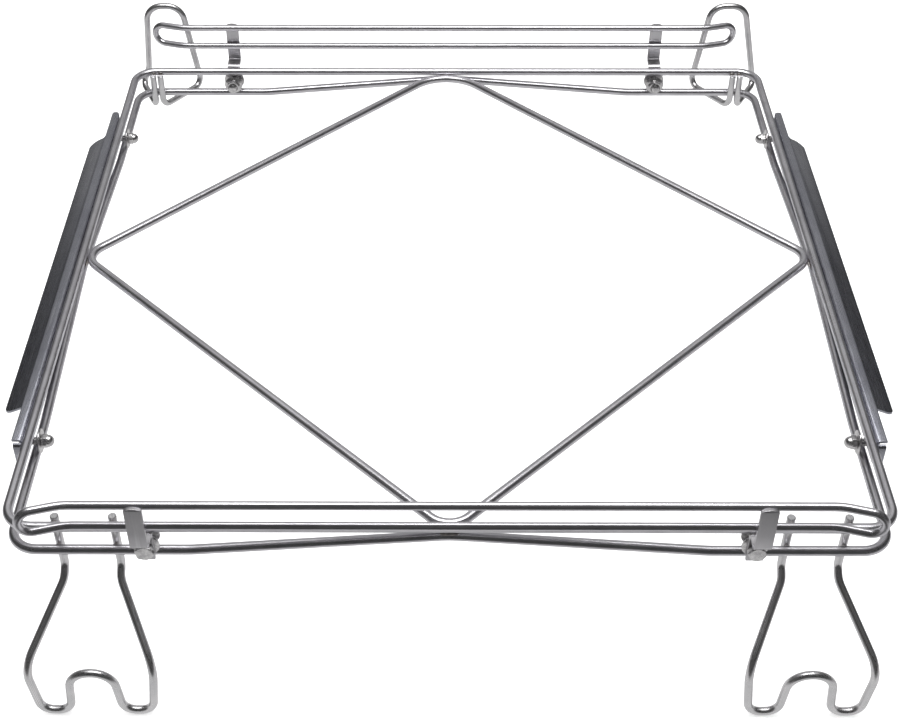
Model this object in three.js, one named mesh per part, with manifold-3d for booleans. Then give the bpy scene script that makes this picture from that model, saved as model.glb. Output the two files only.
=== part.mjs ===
// Basket guide frame for a pass-through dishwasher, welded up from round stainless wire.
// Millimetres, +Z up. The front is -Y, the rear is +Y and the entry slides are on -X and +X.
import * as THREE from 'three';
import { mergeVertices } from 'three/addons/utils/BufferGeometryUtils.js';
import Module from 'manifold-3d';

const wasm = await Module();
wasm.setup();

// ---------------------------------------------------------------- driving dimensions

const WELD_GAP = 0.3;          // left between two pieces that touch on the real frame
const WIRE_SIDES = 10;         // sides of a round wire's section
const BEND_STEP = 16;          // degrees of a bend between two sections

const RING_WIRE = 6.0;         // wire of the two rings and the diamond brace
const RING_HALF = 253.0;       // centre line of a ring's side, from the middle of the frame
const RING_CORNER = 16.0;      // bend radius of a ring's corner
const RING_DROP = 18.9;        // lower ring's centre line below the upper ring's
const CRANK_START = 148.0;     // where the lower ring's side starts to climb
const CRANK_RADIUS = 60.0;     // bend at the foot and the top of the climb
const DIAMOND_REAR = 261.0;    // corners of the brace before they are rounded
const DIAMOND_FRONT = 253.5;
const DIAMOND_SIDE = 253.5;
const DIAMOND_SIDE_Y = 5.0;    // its side corners sit a little behind the middle
const DIAMOND_WELD = 247.2;    // where the rounded corners meet the rings
const DIAMOND_LEVEL = -3.0;    // the brace sits in the groove between the two rings

const ROD = 5.0;               // wire of the legs, hooks and guide rails
const LEG_CENTRES = { left: 207.9, right: 210.1 };
const LEG_TOP_HALF = 16.5;     // half the distance between a leg's two uprights
const LEG_ANKLE_HALF = 37.3;   // the same, where the leg is widest
const LEG_FOOT_HALF = 33.0;    // and at the sole
const LEG_NOTCH_HALF = 12.5;   // half width of the notch that sits over a peg
const LEG_MOUTH_HALF = 15.5;   // and of its open mouth
const LEG_TOP = 3.2;           // top ends, above the upper ring's centre line
const LEG_KNEE = -37.0;        // where a leg leaves the vertical
const LEG_STRAIGHT = 9.0;      // run from the knee to where its wires spread
const LEG_ANKLE = -75.0;       // where it is vertical again
const LEG_FORWARD = 295.0;     // distance of the feet from the middle of the frame
const LEG_SOLE = -113.0;       // lowest centre line of the wire
const LEG_NOTCH_TOP = -78.5;

const HOOK_BAR_OUTER = 239.8;  // X of a rear hook's two front bars
const HOOK_BAR_INNER = 233.8;
const HOOK_BASE = -28.5;       // level where the wire runs back under the lower ring
const HOOK_BACK = 283.0;       // distance of the loop's plane from the middle
const HOOK_LOOP_OUTER = { left: 256.0, right: 259.5 };   // the two hooks are bent slightly differently
const HOOK_LOOP_INNER = 206.5;
const HOOK_WAIST = -13.0;      // level where the outer side turns out to its foot
const HOOK_WAIST_OUTER = { left: 249.5, right: 256.0 };
const HOOK_NECK_OUTER = { left: 244.6, right: 243.6 };
const HOOK_NECK_INNER = 217.0;
const HOOK_CROWN = 43.4;
const HOOK_WELD_TOP = -0.5;

const GUIDE_OUT = 14.0;        // guide rail's centre line outside the ring's
const GUIDE_LOW = 16.0;        // its two wires, above the upper ring's centre line
const GUIDE_HIGH = 32.2;
const GUIDE_FLARE_START = 213.0;
const GUIDE_TIP = 236.3;
const GUIDE_SHIFT = { front: 0.5, rear: -1.8 };   // where each guide is clamped along the rings
const GUIDE_FLARE = 6.5;       // how far the ends lead outwards

const STRAP_X = 173.0;         // straps' distance from the middle
const STRAP_WIDTH = 10.0;
const STRAP_THICK = 2.0;
const STRAP_TOP = 33.8;
const STRAP_SHELF = 0.5;       // underside of the joggle
const STRAP_BOTTOM = -19.4;
const STRAP_BEND = 2.0;        // inside bend radius
const STRAP_CROWN = 9.0;       // radius of the domed top end

const SLIDE_SHEET = 1.5;
const SLIDE_TOP = 1.5;         // top of the flat band
const SLIDE_BAND_EDGE = 262.6; // X where the band turns down
const SLIDE_OUTER = 274.0;
const SLIDE_FLANGE_DROP = 4.8; // fall of the flange from the band to its outer edge
const SLIDE_WEB_BOTTOM = -16.5;
const SLIDE_FLANGE_FRONT = -155.0;
const SLIDE_BAND_FRONT = -188.5;
const SLIDE_NOSE = 261.0;      // outer edge of the band's front end
const SLIDE_FLAP_BOTTOM = -15.0;
const SLIDE_SHOULDER = 150.0;
const SLIDE_FINGER_TIP = 188.0;
const SLIDE_FINGER_OUTER = 262.9;

const BORE_PLAY = 0.3;
const SCREW_LEVEL = -10.2;     // all screws pass between the two rings
const STRAP_SCREW = { thread: 6.0, corners: 11.2, head: 4.0 };
const STRAP_WASHER = 16.0;
const STRAP_WASHER_THICK = 1.6;
const FLANGE_NUT_HEIGHT = 5.4;
const FLANGE_NUT_BASE = 14.2;
const SCREW_STICK_OUT = 2.6;   // thread beyond a flange nut
const SLIDE_SCREW = { thread: 5.0, corners: 8.8, head: 3.5 };
const SLIDE_SCREW_Y = { front: -172.5, rear: 168.0 };
const SLIDE_WASHER = 15.0;
const SLIDE_WASHER_THICK = 1.2;

const STEEL = 0xb4b7ba;
const STEEL_DARK = 0x8e9195;
const ZINC = 0xa9acb0;

// ---------------------------------------------------------------- general helpers

const v = (x, y, z) => new THREE.Vector3(x, y, z);
const group = new THREE.Group();
group.name = 'dishwasher_basket_frame';

// A wire's centre line: straight runs joined by round bends, or a closed loop of them.
class WirePath extends THREE.Curve {
  constructor(corners, loop = false) {
    super();
    this.loop = loop;
    this.stations = [];
    const count = corners.length;
    corners.forEach((corner, i) => {
      const isEnd = !loop && (i === 0 || i === count - 1);
      if (isEnd) {
        this.stations.push(corner.at.clone());
        return;
      }
      const before = corners[(i + count - 1) % count].at;
      const after = corners[(i + 1) % count].at;
      this.stations.push(...bendStations(before, corner.at, after, corner.radius));
    });
    if (loop) {
      this.stations.push(this.stations[0].clone());
    }
  }

  getPointAt(u, target = new THREE.Vector3()) {
    const last = this.stations.length - 1;
    return target.copy(this.stations[Math.round(u * last)]);
  }

  getTangentAt(u, target = new THREE.Vector3()) {
    const last = this.stations.length - 1;
    const i = Math.round(u * last);
    const closedEnd = this.loop && (i === 0 || i === last);
    const before = closedEnd ? this.stations[last - 1] : this.stations[Math.max(i - 1, 0)];
    const after = closedEnd ? this.stations[1] : this.stations[Math.min(i + 1, last)];
    const here = this.stations[i];
    const into = here.clone().sub(before).normalize();
    const outOf = after.clone().sub(here).normalize();
    return target.copy(into).add(outOf).normalize();
  }

  computeFrenetFrames(segments) {
    return super.computeFrenetFrames(segments, this.loop);
  }
}

// Points along the round bend at one corner of a wire.
function bendStations(before, corner, after, radius) {
  const into = corner.clone().sub(before).normalize();
  const outOf = after.clone().sub(corner).normalize();
  const turn = into.angleTo(outOf);
  const setback = radius * Math.tan(turn / 2);
  const start = corner.clone().addScaledVector(into, -setback);
  const inward = outOf.clone().addScaledVector(into, -outOf.dot(into)).normalize();
  const steps = Math.max(1, Math.round(THREE.MathUtils.radToDeg(turn) / BEND_STEP));
  const points = [];
  for (let k = 0; k <= steps; k += 1) {
    const angle = turn * k / steps;
    const point = start.clone();
    point.addScaledVector(into, radius * Math.sin(angle));
    point.addScaledVector(inward, radius * (1 - Math.cos(angle)));
    points.push(point);
  }
  return points;
}

// Round wire swept along a path. A closed loop has no end lids.
function sweptWire(path, diameter) {
  const section = new THREE.Shape();
  const outline = [];
  for (let k = 0; k < WIRE_SIDES; k += 1) {
    const angle = 2 * Math.PI * k / WIRE_SIDES;
    outline.push(new THREE.Vector2(Math.cos(angle), Math.sin(angle)).multiplyScalar(diameter / 2));
  }
  section.setFromPoints(outline);
  const steps = path.stations.length - 1;
  const swept = new THREE.ExtrudeGeometry(section, { steps, extrudePath: path });
  if (!path.loop) {
    return welded(swept);
  }
  const walls = swept.groups[1];
  const wallPoints = swept.attributes.position.array.slice(walls.start * 3, (walls.start + walls.count) * 3);
  const open = new THREE.BufferGeometry();
  open.setAttribute('position', new THREE.BufferAttribute(wallPoints, 3));
  return welded(open);
}

// The same surface with position only and shared corners.
function welded(geometry) {
  const bare = new THREE.BufferGeometry();
  bare.setAttribute('position', geometry.attributes.position.clone());
  if (geometry.index) {
    bare.setIndex(geometry.index.clone());
  }
  return mergeVertices(bare, 1e-4);
}

function toSolid(geometry) {
  const shared = welded(geometry);
  return new wasm.Manifold(new wasm.Mesh({
    numProp: 3,
    vertProperties: new Float32Array(shared.attributes.position.array),
    triVerts: new Uint32Array(shared.index.array),
  }));
}

function fromSolid(solid) {
  const mesh = solid.getMesh();
  const geometry = new THREE.BufferGeometry();
  geometry.setAttribute('position', new THREE.BufferAttribute(new Float32Array(mesh.vertProperties), 3));
  geometry.setIndex(new THREE.BufferAttribute(new Uint32Array(mesh.triVerts), 1));
  return geometry;
}

// Extrusion of a flat outline along +Z, with optional round holes [x, y, radius].
function plate(points, depth, holes = []) {
  const shape = new THREE.Shape();
  shape.setFromPoints(points.map(([x, y]) => new THREE.Vector2(x, y)));
  holes.forEach(([x, y, radius]) => {
    const hole = new THREE.Path();
    hole.absarc(x, y, radius, 0, 2 * Math.PI, true);
    shape.holes.push(hole);
  });
  return new THREE.ExtrudeGeometry(shape, { depth, bevelEnabled: false, curveSegments: 10 });
}

// Turns a geometry drawn along +Z so that it lies along the given direction.
function alongAxis(geometry, direction) {
  const turn = new THREE.Quaternion().setFromUnitVectors(v(0, 0, 1), direction);
  geometry.applyQuaternion(turn);
  return geometry;
}

function addPiece(name, geometry, colour, roughness = 0.28, metalness = 1.0) {
  const material = new THREE.MeshStandardMaterial({ color: colour, roughness, metalness });
  const mesh = new THREE.Mesh(geometry, material);
  mesh.name = name;
  group.add(mesh);
  return mesh;
}

const SIDES = [['left', -1], ['right', 1]];
const ENDS = [['front', -1], ['rear', 1]];

// ---------------------------------------------------------------- rings and brace

function upperRing() {
  const corners = [[1, 1], [-1, 1], [-1, -1], [1, -1]].map(([sx, sy]) => ({
    at: v(sx * RING_HALF, sy * RING_HALF, 0),
    radius: RING_CORNER,
  }));
  addPiece('upper_ring', sweptWire(new WirePath(corners, true), RING_WIRE), STEEL);
}

// The lower ring climbs to the upper one in the middle of each side.
function lowerRing() {
  const low = -RING_DROP;
  const high = -(RING_WIRE + WELD_GAP);
  const corners = [];
  for (let side = 0; side < 4; side += 1) {
    const turn = new THREE.Matrix4().makeRotationZ(side * Math.PI / 2);
    const along = [
      [RING_HALF, low, RING_CORNER],
      [CRANK_START, low, CRANK_RADIUS],
      [0, high, CRANK_RADIUS],
      [-CRANK_START, low, CRANK_RADIUS],
    ];
    along.forEach(([x, z, radius]) => {
      corners.push({ at: v(x, RING_HALF, z).applyMatrix4(turn), radius });
    });
  }
  addPiece('lower_ring', sweptWire(new WirePath(corners, true), RING_WIRE), STEEL);
}

function diamondBrace() {
  const places = [
    [0, DIAMOND_REAR, DIAMOND_REAR],
    [-DIAMOND_SIDE, DIAMOND_SIDE_Y, DIAMOND_SIDE],
    [0, -DIAMOND_FRONT, DIAMOND_FRONT],
    [DIAMOND_SIDE, DIAMOND_SIDE_Y, DIAMOND_SIDE],
  ];
  const corners = places.map(([x, y, distance]) => ({
    at: v(x, y, DIAMOND_LEVEL),
    radius: (distance - DIAMOND_WELD) / (Math.SQRT2 - 1),
  }));
  addPiece('diamond_brace', sweptWire(new WirePath(corners, true), RING_WIRE), STEEL);
}

// ---------------------------------------------------------------- legs and hooks

// Inner face of the rings, where the legs and hooks are welded.
const WELD_LINE = RING_HALF - RING_WIRE / 2 - WELD_GAP - ROD / 2;

function frontLeg(label, side) {
  const footRadius = (LEG_FOOT_HALF - LEG_MOUTH_HALF) / 2 - 0.2;
  const knee = v(LEG_TOP_HALF, -WELD_LINE, LEG_KNEE);
  const slope = v(LEG_TOP_HALF, -LEG_FORWARD, LEG_ANKLE).sub(knee).normalize();
  const spread = knee.clone().addScaledVector(slope, LEG_STRAIGHT);
  const half = (out) => [
    { at: v(out * LEG_TOP_HALF, -WELD_LINE, LEG_TOP), radius: 0 },
    { at: v(out * knee.x, knee.y, knee.z), radius: 7 },
    { at: v(out * spread.x, spread.y, spread.z), radius: 18 },
    { at: v(out * LEG_ANKLE_HALF, -LEG_FORWARD, LEG_ANKLE), radius: 20 },
    { at: v(out * LEG_FOOT_HALF, -LEG_FORWARD, LEG_SOLE), radius: footRadius },
    { at: v(out * LEG_MOUTH_HALF, -LEG_FORWARD, LEG_SOLE), radius: footRadius },
    { at: v(out * LEG_NOTCH_HALF, -LEG_FORWARD, LEG_NOTCH_TOP), radius: 13.3 },
  ];
  const corners = [...half(-1), ...half(1).reverse()];
  corners.forEach((corner) => {
    corner.at.x += side * LEG_CENTRES[label];
  });
  addPiece(`front_leg_${label}`, sweptWire(new WirePath(corners), ROD), STEEL);
}

function rearHook(label, side) {
  const crownRadius = (HOOK_NECK_OUTER[label] - HOOK_NECK_INNER) / 2 - 0.6;
  const corners = [
    { at: v(HOOK_BAR_OUTER, WELD_LINE, HOOK_WELD_TOP), radius: 0 },
    { at: v(HOOK_BAR_OUTER, WELD_LINE, HOOK_BASE), radius: 7 },
    { at: v(HOOK_LOOP_OUTER[label], HOOK_BACK, HOOK_BASE), radius: 6 },
    { at: v(HOOK_WAIST_OUTER[label], HOOK_BACK, HOOK_WAIST), radius: 14 },
    { at: v(HOOK_NECK_OUTER[label], HOOK_BACK, HOOK_CROWN), radius: crownRadius },
    { at: v(HOOK_NECK_INNER, HOOK_BACK, HOOK_CROWN), radius: crownRadius },
    { at: v(HOOK_LOOP_INNER, HOOK_BACK, HOOK_BASE), radius: 8 },
    { at: v(HOOK_BAR_INNER, WELD_LINE, HOOK_BASE), radius: 7 },
    { at: v(HOOK_BAR_INNER, WELD_LINE, HOOK_WELD_TOP), radius: 0 },
  ];
  corners.forEach((corner) => {
    corner.at.x *= side;
  });
  addPiece(`rear_hook_${label}`, sweptWire(new WirePath(corners), ROD), STEEL);
}

// ---------------------------------------------------------------- guide rails and straps

const GUIDE_Y = RING_HALF + GUIDE_OUT;

function guideRail(label, end) {
  const tipRadius = (GUIDE_HIGH - GUIDE_LOW) / 2 - 0.01;
  const shift = GUIDE_SHIFT[label];
  const wires = [
    [-1, GUIDE_HIGH], [1, GUIDE_HIGH], [1, GUIDE_LOW], [-1, GUIDE_LOW],
  ];
  const corners = [];
  wires.forEach(([sx, z], i) => {
    const flare = { at: v(sx * GUIDE_FLARE_START + shift, end * GUIDE_Y, z), radius: 30 };
    const tip = { at: v(sx * GUIDE_TIP + shift, end * (GUIDE_Y + GUIDE_FLARE), z), radius: tipRadius };
    corners.push(...(i % 2 === 0 ? [tip, flare] : [flare, tip]));
  });
  addPiece(`${label}_guide_rail`, sweptWire(new WirePath(corners, true), ROD), STEEL);
}

// Outer faces of the washers that bridge the two rings under a strap.
const STRAP_TAB = RING_HALF + RING_WIRE / 2 + WELD_GAP + STRAP_WASHER_THICK + WELD_GAP;

// Section of a strap in (distance outwards, height): a joggled flat bar.
function strapSection() {
  const tab = STRAP_TAB;
  const face = GUIDE_Y + ROD / 2 + WELD_GAP;
  const t = STRAP_THICK;
  const r = STRAP_BEND;
  const shelf = STRAP_SHELF;
  const arc = (cx, cy, radius, from, to) => {
    const points = [];
    for (let k = 0; k <= 4; k += 1) {
      const angle = THREE.MathUtils.degToRad(from + (to - from) * k / 4);
      points.push([cx + radius * Math.cos(angle), cy + radius * Math.sin(angle)]);
    }
    return points;
  };
  return [
    [tab, STRAP_BOTTOM],
    [tab + t, STRAP_BOTTOM],
    ...arc(tab + t + r, shelf - r, r, 180, 90),
    ...arc(face - r, shelf + t + r, r + t, 270, 360),
    [face + t, STRAP_TOP],
    [face, STRAP_TOP],
    ...arc(face - r, shelf + t + r, r, 360, 270),
    ...arc(tab + t + r, shelf - r, r + t, 90, 180),
  ];
}

function strap(name, x, end) {
  const bar = plate(strapSection(), STRAP_WIDTH);
  bar.rotateX(Math.PI / 2);
  bar.rotateZ(Math.PI / 2);
  bar.translate(-STRAP_WIDTH / 2, 0, 0);
  const outline = [[-STRAP_WIDTH / 2, STRAP_BOTTOM - 1], [STRAP_WIDTH / 2, STRAP_BOTTOM - 1]];
  const spread = Math.asin(STRAP_WIDTH / 2 / STRAP_CROWN);
  for (let k = 0; k <= 8; k += 1) {
    const angle = Math.PI / 2 - spread + 2 * spread * k / 8;
    outline.push([STRAP_CROWN * Math.cos(angle), STRAP_TOP - STRAP_CROWN * (1 - Math.sin(angle))]);
  }
  const mask = plate(outline, 40).rotateX(Math.PI / 2).translate(0, RING_HALF + 30, 0);
  const holeRadius = STRAP_SCREW.thread / 2 + BORE_PLAY;
  const hole = new THREE.CylinderGeometry(holeRadius, holeRadius, 20, 20);
  hole.translate(0, STRAP_TAB, SCREW_LEVEL);
  const cut = toSolid(bar).intersect(toSolid(mask)).subtract(toSolid(hole));
  const geometry = fromSolid(cut);
  if (end < 0) {
    geometry.rotateZ(Math.PI);
  }
  geometry.translate(x, 0, 0);
  addPiece(name, geometry, STEEL_DARK, 0.35);
}

// ---------------------------------------------------------------- screws, washers and nuts

// A screw with its head's bearing face at the origin and its thread along -direction.
function hexScrew(direction, length, { thread, corners, head }) {
  const hex = new THREE.CylinderGeometry(corners / 2, corners / 2, head, 6);
  hex.rotateX(Math.PI / 2).translate(0, 0, head / 2);
  const shank = new THREE.CylinderGeometry(thread / 2, thread / 2, length + 1, 16);
  shank.rotateX(Math.PI / 2).translate(0, 0, (1 - length) / 2);
  return alongAxis(fromSolid(toSolid(hex).add(toSolid(shank))), direction);
}

function roundWasher(direction, diameter, thickness, thread) {
  const ring = [];
  for (let k = 0; k < 28; k += 1) {
    const angle = 2 * Math.PI * k / 28;
    ring.push([diameter / 2 * Math.cos(angle), diameter / 2 * Math.sin(angle)]);
  }
  return alongAxis(plate(ring, thickness, [[0, 0, thread / 2 + BORE_PLAY]]), direction);
}

// Nut with its bearing face at the origin, standing along the direction.
function flangeNut(direction) {
  const { thread, corners } = STRAP_SCREW;
  const body = new THREE.CylinderGeometry(corners / 2, corners / 2, FLANGE_NUT_HEIGHT, 6);
  body.rotateX(Math.PI / 2).translate(0, 0, FLANGE_NUT_HEIGHT / 2);
  const skirt = new THREE.CylinderGeometry(corners / 2 - 0.4, FLANGE_NUT_BASE / 2, 1.6, 28);
  skirt.rotateX(Math.PI / 2).translate(0, 0, 0.8);
  const bore = new THREE.CylinderGeometry(thread / 2 + BORE_PLAY, thread / 2 + BORE_PLAY, 20, 20);
  bore.rotateX(Math.PI / 2);
  return alongAxis(fromSolid(toSolid(body).add(toSolid(skirt)).subtract(toSolid(bore))), direction);
}

const CAP_BODY = 3.6;
const CAP_HEIGHT = 7.4;
const CAP_DOME = 3.8;          // radius of the dome
const CAP_BORE = 5.0;

function capNut(direction) {
  const { thread, corners } = SLIDE_SCREW;
  const body = new THREE.CylinderGeometry(corners / 2, corners / 2, CAP_BODY, 6);
  body.rotateX(Math.PI / 2).translate(0, 0, CAP_BODY / 2);
  const dome = new THREE.SphereGeometry(CAP_DOME, 20, 12);
  dome.translate(0, 0, CAP_HEIGHT - CAP_DOME);
  const bore = new THREE.CylinderGeometry(thread / 2 + BORE_PLAY, thread / 2 + BORE_PLAY, 2 * CAP_BORE, 20);
  bore.rotateX(Math.PI / 2);
  return alongAxis(fromSolid(toSolid(body).add(toSolid(dome)).subtract(toSolid(bore))), direction);
}

// A screw from outside through the strap, a washer outside the rings and a nut inside them.
function strapFasteners(name, x, end) {
  const outward = v(0, end, 0);
  const headFace = STRAP_TAB + STRAP_THICK + WELD_GAP;
  const washerFace = RING_HALF + RING_WIRE / 2 + WELD_GAP;
  const nutFace = RING_HALF - RING_WIRE / 2 - WELD_GAP;
  const threadEnd = nutFace - FLANGE_NUT_HEIGHT - SCREW_STICK_OUT;
  const screw = hexScrew(outward, headFace - threadEnd, STRAP_SCREW);
  addPiece(`${name}_screw`, screw.translate(x, end * headFace, SCREW_LEVEL), ZINC, 0.3);
  const washer = roundWasher(outward, STRAP_WASHER, STRAP_WASHER_THICK, STRAP_SCREW.thread);
  addPiece(`${name}_washer`, washer.translate(x, end * washerFace, SCREW_LEVEL), ZINC, 0.3);
  const nut = flangeNut(v(0, -end, 0)).translate(x, end * nutFace, SCREW_LEVEL);
  addPiece(`${name}_flange_nut`, nut, ZINC, 0.3);
}

// A screw from outside through the slide's web, a washer and a cap nut inside the rings.
function slideFasteners(name, side, endLabel) {
  const outward = v(side, 0, 0);
  const y = SLIDE_SCREW_Y[endLabel];
  const webFace = RING_HALF + RING_WIRE / 2 + WELD_GAP + SLIDE_SHEET;
  const headFace = webFace + WELD_GAP;
  const washerFace = RING_HALF - RING_WIRE / 2 - WELD_GAP - SLIDE_WASHER_THICK;
  const nutFace = washerFace - WELD_GAP;
  const threadEnd = nutFace - CAP_BORE + 0.5;
  const screw = hexScrew(outward, headFace - threadEnd, SLIDE_SCREW);
  addPiece(`${name}_screw`, screw.translate(side * headFace, y, SCREW_LEVEL), ZINC, 0.3);
  const washer = roundWasher(outward, SLIDE_WASHER, SLIDE_WASHER_THICK, SLIDE_SCREW.thread);
  addPiece(`${name}_washer`, washer.translate(side * washerFace, y, SCREW_LEVEL), ZINC, 0.3);
  const nut = capNut(v(-side, 0, 0)).translate(side * nutFace, y, SCREW_LEVEL);
  addPiece(`${name}_cap_nut`, nut, ZINC, 0.3);
}

// ---------------------------------------------------------------- entry slides

// Section of a slide in (distance outwards, height): web, flat band and falling flange.
function slideSection() {
  const web = RING_HALF + RING_WIRE / 2 + WELD_GAP;
  const t = SLIDE_SHEET;
  const low = SLIDE_TOP - SLIDE_FLANGE_DROP;
  return [
    [web, SLIDE_WEB_BOTTOM],
    [web + t, SLIDE_WEB_BOTTOM],
    [web + t, SLIDE_TOP - t],
    [SLIDE_BAND_EDGE - 0.3, SLIDE_TOP - t],
    [SLIDE_OUTER - 0.6, low - t * 0.9],
    [SLIDE_OUTER, low],
    [SLIDE_BAND_EDGE, SLIDE_TOP],
    [web + 0.6, SLIDE_TOP],
    [web, SLIDE_TOP - 0.6],
  ];
}

// Plan outline of a slide in (distance outwards, Y): nose, band, flange, shoulder and finger.
function slidePlan() {
  const inner = RING_HALF + RING_WIRE / 2;
  const fingerInner = inner + WELD_GAP + SLIDE_SHEET + 0.05;
  const fingerMiddle = (fingerInner + SLIDE_FINGER_OUTER) / 2;
  const fingerRadius = (SLIDE_FINGER_OUTER - fingerInner) / 2;
  const points = [
    [inner, SLIDE_BAND_FRONT],
    [SLIDE_NOSE, SLIDE_BAND_FRONT],
    [SLIDE_BAND_EDGE, SLIDE_BAND_FRONT + 9],
    [SLIDE_BAND_EDGE, SLIDE_FLANGE_FRONT],
    [SLIDE_OUTER - 3.4, SLIDE_FLANGE_FRONT],
    [SLIDE_OUTER - 1.4, SLIDE_FLANGE_FRONT + 0.8],
    [SLIDE_OUTER - 0.3, SLIDE_FLANGE_FRONT + 2.6],
    [SLIDE_OUTER + 1, SLIDE_FLANGE_FRONT + 6],
    [SLIDE_OUTER + 1, SLIDE_SHOULDER - 12],
    [SLIDE_OUTER - 1.2, SLIDE_SHOULDER - 5],
    [SLIDE_OUTER - 4.6, SLIDE_SHOULDER],
    [SLIDE_OUTER - 8.2, SLIDE_SHOULDER + 2.8],
    [SLIDE_FINGER_OUTER + 0.6, SLIDE_SHOULDER + 6],
    [SLIDE_FINGER_OUTER, SLIDE_SHOULDER + 10],
  ];
  for (let k = 0; k <= 8; k += 1) {
    const angle = Math.PI * k / 8;
    const tip = SLIDE_FINGER_TIP - fingerRadius;
    points.push([fingerMiddle + fingerRadius * Math.cos(angle), tip + fingerRadius * Math.sin(angle)]);
  }
  points.push([fingerInner, SLIDE_FINGER_TIP - 8]);
  points.push([inner, SLIDE_FINGER_TIP - 8]);
  return points;
}

// Front end of the band, folded down over the end of the web.
function slideFlap(side) {
  const inner = RING_HALF + RING_WIRE / 2 + WELD_GAP;
  const width = SLIDE_NOSE - inner;
  const height = SLIDE_TOP - 0.7 - SLIDE_FLAP_BOTTOM;
  const flap = new THREE.BoxGeometry(width, SLIDE_SHEET, height);
  const across = side * (inner + width / 2);
  return flap.translate(across, SLIDE_BAND_FRONT + SLIDE_SHEET / 2, SLIDE_FLAP_BOTTOM + height / 2);
}

function entrySlide(label, side) {
  const length = SLIDE_FINGER_TIP - SLIDE_BAND_FRONT + 10;
  const profile = slideSection().map(([x, z]) => [side * x, z]);
  const outline = slidePlan().map(([x, y]) => [side * x, y]);
  if (side < 0) {
    profile.reverse();
    outline.reverse();
  }
  const bar = plate(profile, length).rotateX(Math.PI / 2).translate(0, SLIDE_FINGER_TIP + 5, 0);
  const mask = plate(outline, 60).translate(0, 0, -40);
  let sheet = toSolid(bar).intersect(toSolid(mask)).add(toSolid(slideFlap(side)));
  Object.values(SLIDE_SCREW_Y).forEach((y) => {
    const radius = SLIDE_SCREW.thread / 2 + BORE_PLAY;
    const hole = new THREE.CylinderGeometry(radius, radius, 20, 20).rotateZ(Math.PI / 2);
    hole.translate(side * (RING_HALF + 4), y, SCREW_LEVEL);
    sheet = sheet.subtract(toSolid(hole));
  });
  addPiece(`entry_slide_${label}`, fromSolid(sheet), STEEL_DARK, 0.32);
}

// ---------------------------------------------------------------- assembly

upperRing();
lowerRing();
diamondBrace();
SIDES.forEach(([label, side]) => {
  frontLeg(label, side);
  rearHook(label, side);
});
ENDS.forEach(([endLabel, end]) => {
  guideRail(endLabel, end);
  SIDES.forEach(([label, side]) => {
    const name = `${endLabel}_strap_${label}`;
    const x = side * STRAP_X + GUIDE_SHIFT[endLabel];
    strap(name, x, end);
    strapFasteners(name, x, end);
  });
});
SIDES.forEach(([label, side]) => {
  entrySlide(label, side);
  ENDS.forEach(([endLabel]) => {
    slideFasteners(`slide_${label}_${endLabel}`, side, endLabel);
  });
});

// The origin goes to the middle of the whole frame, level with the soles of the feet.
const box = new THREE.Box3().setFromObject(group);
const middle = box.getCenter(v(0, 0, 0));
group.children.forEach((mesh) => {
  mesh.position.set(-middle.x, -middle.y, -box.min.z);
});

export default group;
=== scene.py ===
"""Basket guide frame of a pass-through dishwasher: round stainless wire, two slides, two guide rails.

Lengths are metres. Places are given from the middle of the upper ring, X to the right, Y to the rear.
"""
import logging
import math
from collections.abc import Callable, Iterator
from dataclasses import dataclass, field
from enum import Enum

import bpy
import numpy as np
from mathutils import Matrix, Vector


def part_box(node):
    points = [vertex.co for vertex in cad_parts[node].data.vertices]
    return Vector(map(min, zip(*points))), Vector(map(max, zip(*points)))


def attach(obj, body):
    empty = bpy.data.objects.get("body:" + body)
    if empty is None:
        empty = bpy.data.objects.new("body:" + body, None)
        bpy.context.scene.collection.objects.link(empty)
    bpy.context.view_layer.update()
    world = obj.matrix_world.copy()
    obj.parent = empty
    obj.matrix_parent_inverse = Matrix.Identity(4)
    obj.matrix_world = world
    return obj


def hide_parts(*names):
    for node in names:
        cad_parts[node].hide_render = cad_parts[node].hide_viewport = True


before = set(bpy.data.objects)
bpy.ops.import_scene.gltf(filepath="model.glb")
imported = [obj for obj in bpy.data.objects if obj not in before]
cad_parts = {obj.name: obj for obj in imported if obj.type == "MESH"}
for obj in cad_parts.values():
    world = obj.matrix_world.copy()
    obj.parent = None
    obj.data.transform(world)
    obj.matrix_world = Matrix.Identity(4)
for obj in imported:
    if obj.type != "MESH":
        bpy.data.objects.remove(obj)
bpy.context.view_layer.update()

log = logging.getLogger("basket_frame")
GAP = 0.0003  # left between two pieces that touch
HOLE_SIDES = 40  # faces round a drilled hole


class Side(Enum):
    """Left or right half of the frame."""

    LEFT = -1
    RIGHT = 1

    @property
    def word(self) -> str:
        """Name used in node names."""
        return self.name.lower()


class End(Enum):
    """Front or rear half of the frame."""

    FRONT = -1
    REAR = 1

    @property
    def word(self) -> str:
        """Name used in node names."""
        return self.name.lower()


class Slot(Enum):
    """Material slots of the record."""

    RING = "ring_wire"
    ROD = "rod_wire"
    STRAP = "strap_steel"
    SLIDE = "slide_sheet"
    FASTENER = "fasteners"


def ring_middle() -> Vector:
    """Middle of the upper ring, which every place is counted from."""
    low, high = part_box("upper_ring")
    return (low + high) / 2


MIDDLE = ring_middle()


def across_of(node: str) -> float:
    """Distance of a node's middle to the right of the frame's middle."""
    low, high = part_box(node)
    return (low.x + high.x) / 2 - MIDDLE.x


def height_of(node: str) -> float:
    """Level of a node's middle above the upper ring's centre line."""
    low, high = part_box(node)
    return (low.z + high.z) / 2 - MIDDLE.z


# ---------------------------------------------------------------- finishes


def new_material(name: str) -> tuple[bpy.types.Material, bpy.types.Node]:
    """Makes an empty steel material.

    Args:
        name: name of the material.

    Returns:
        The material and its shader node.
    """
    material = bpy.data.materials.new(name)
    material.use_nodes = True
    shader = material.node_tree.nodes["Principled BSDF"]
    shader.inputs["Metallic"].default_value = 1.0
    return material, shader


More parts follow.
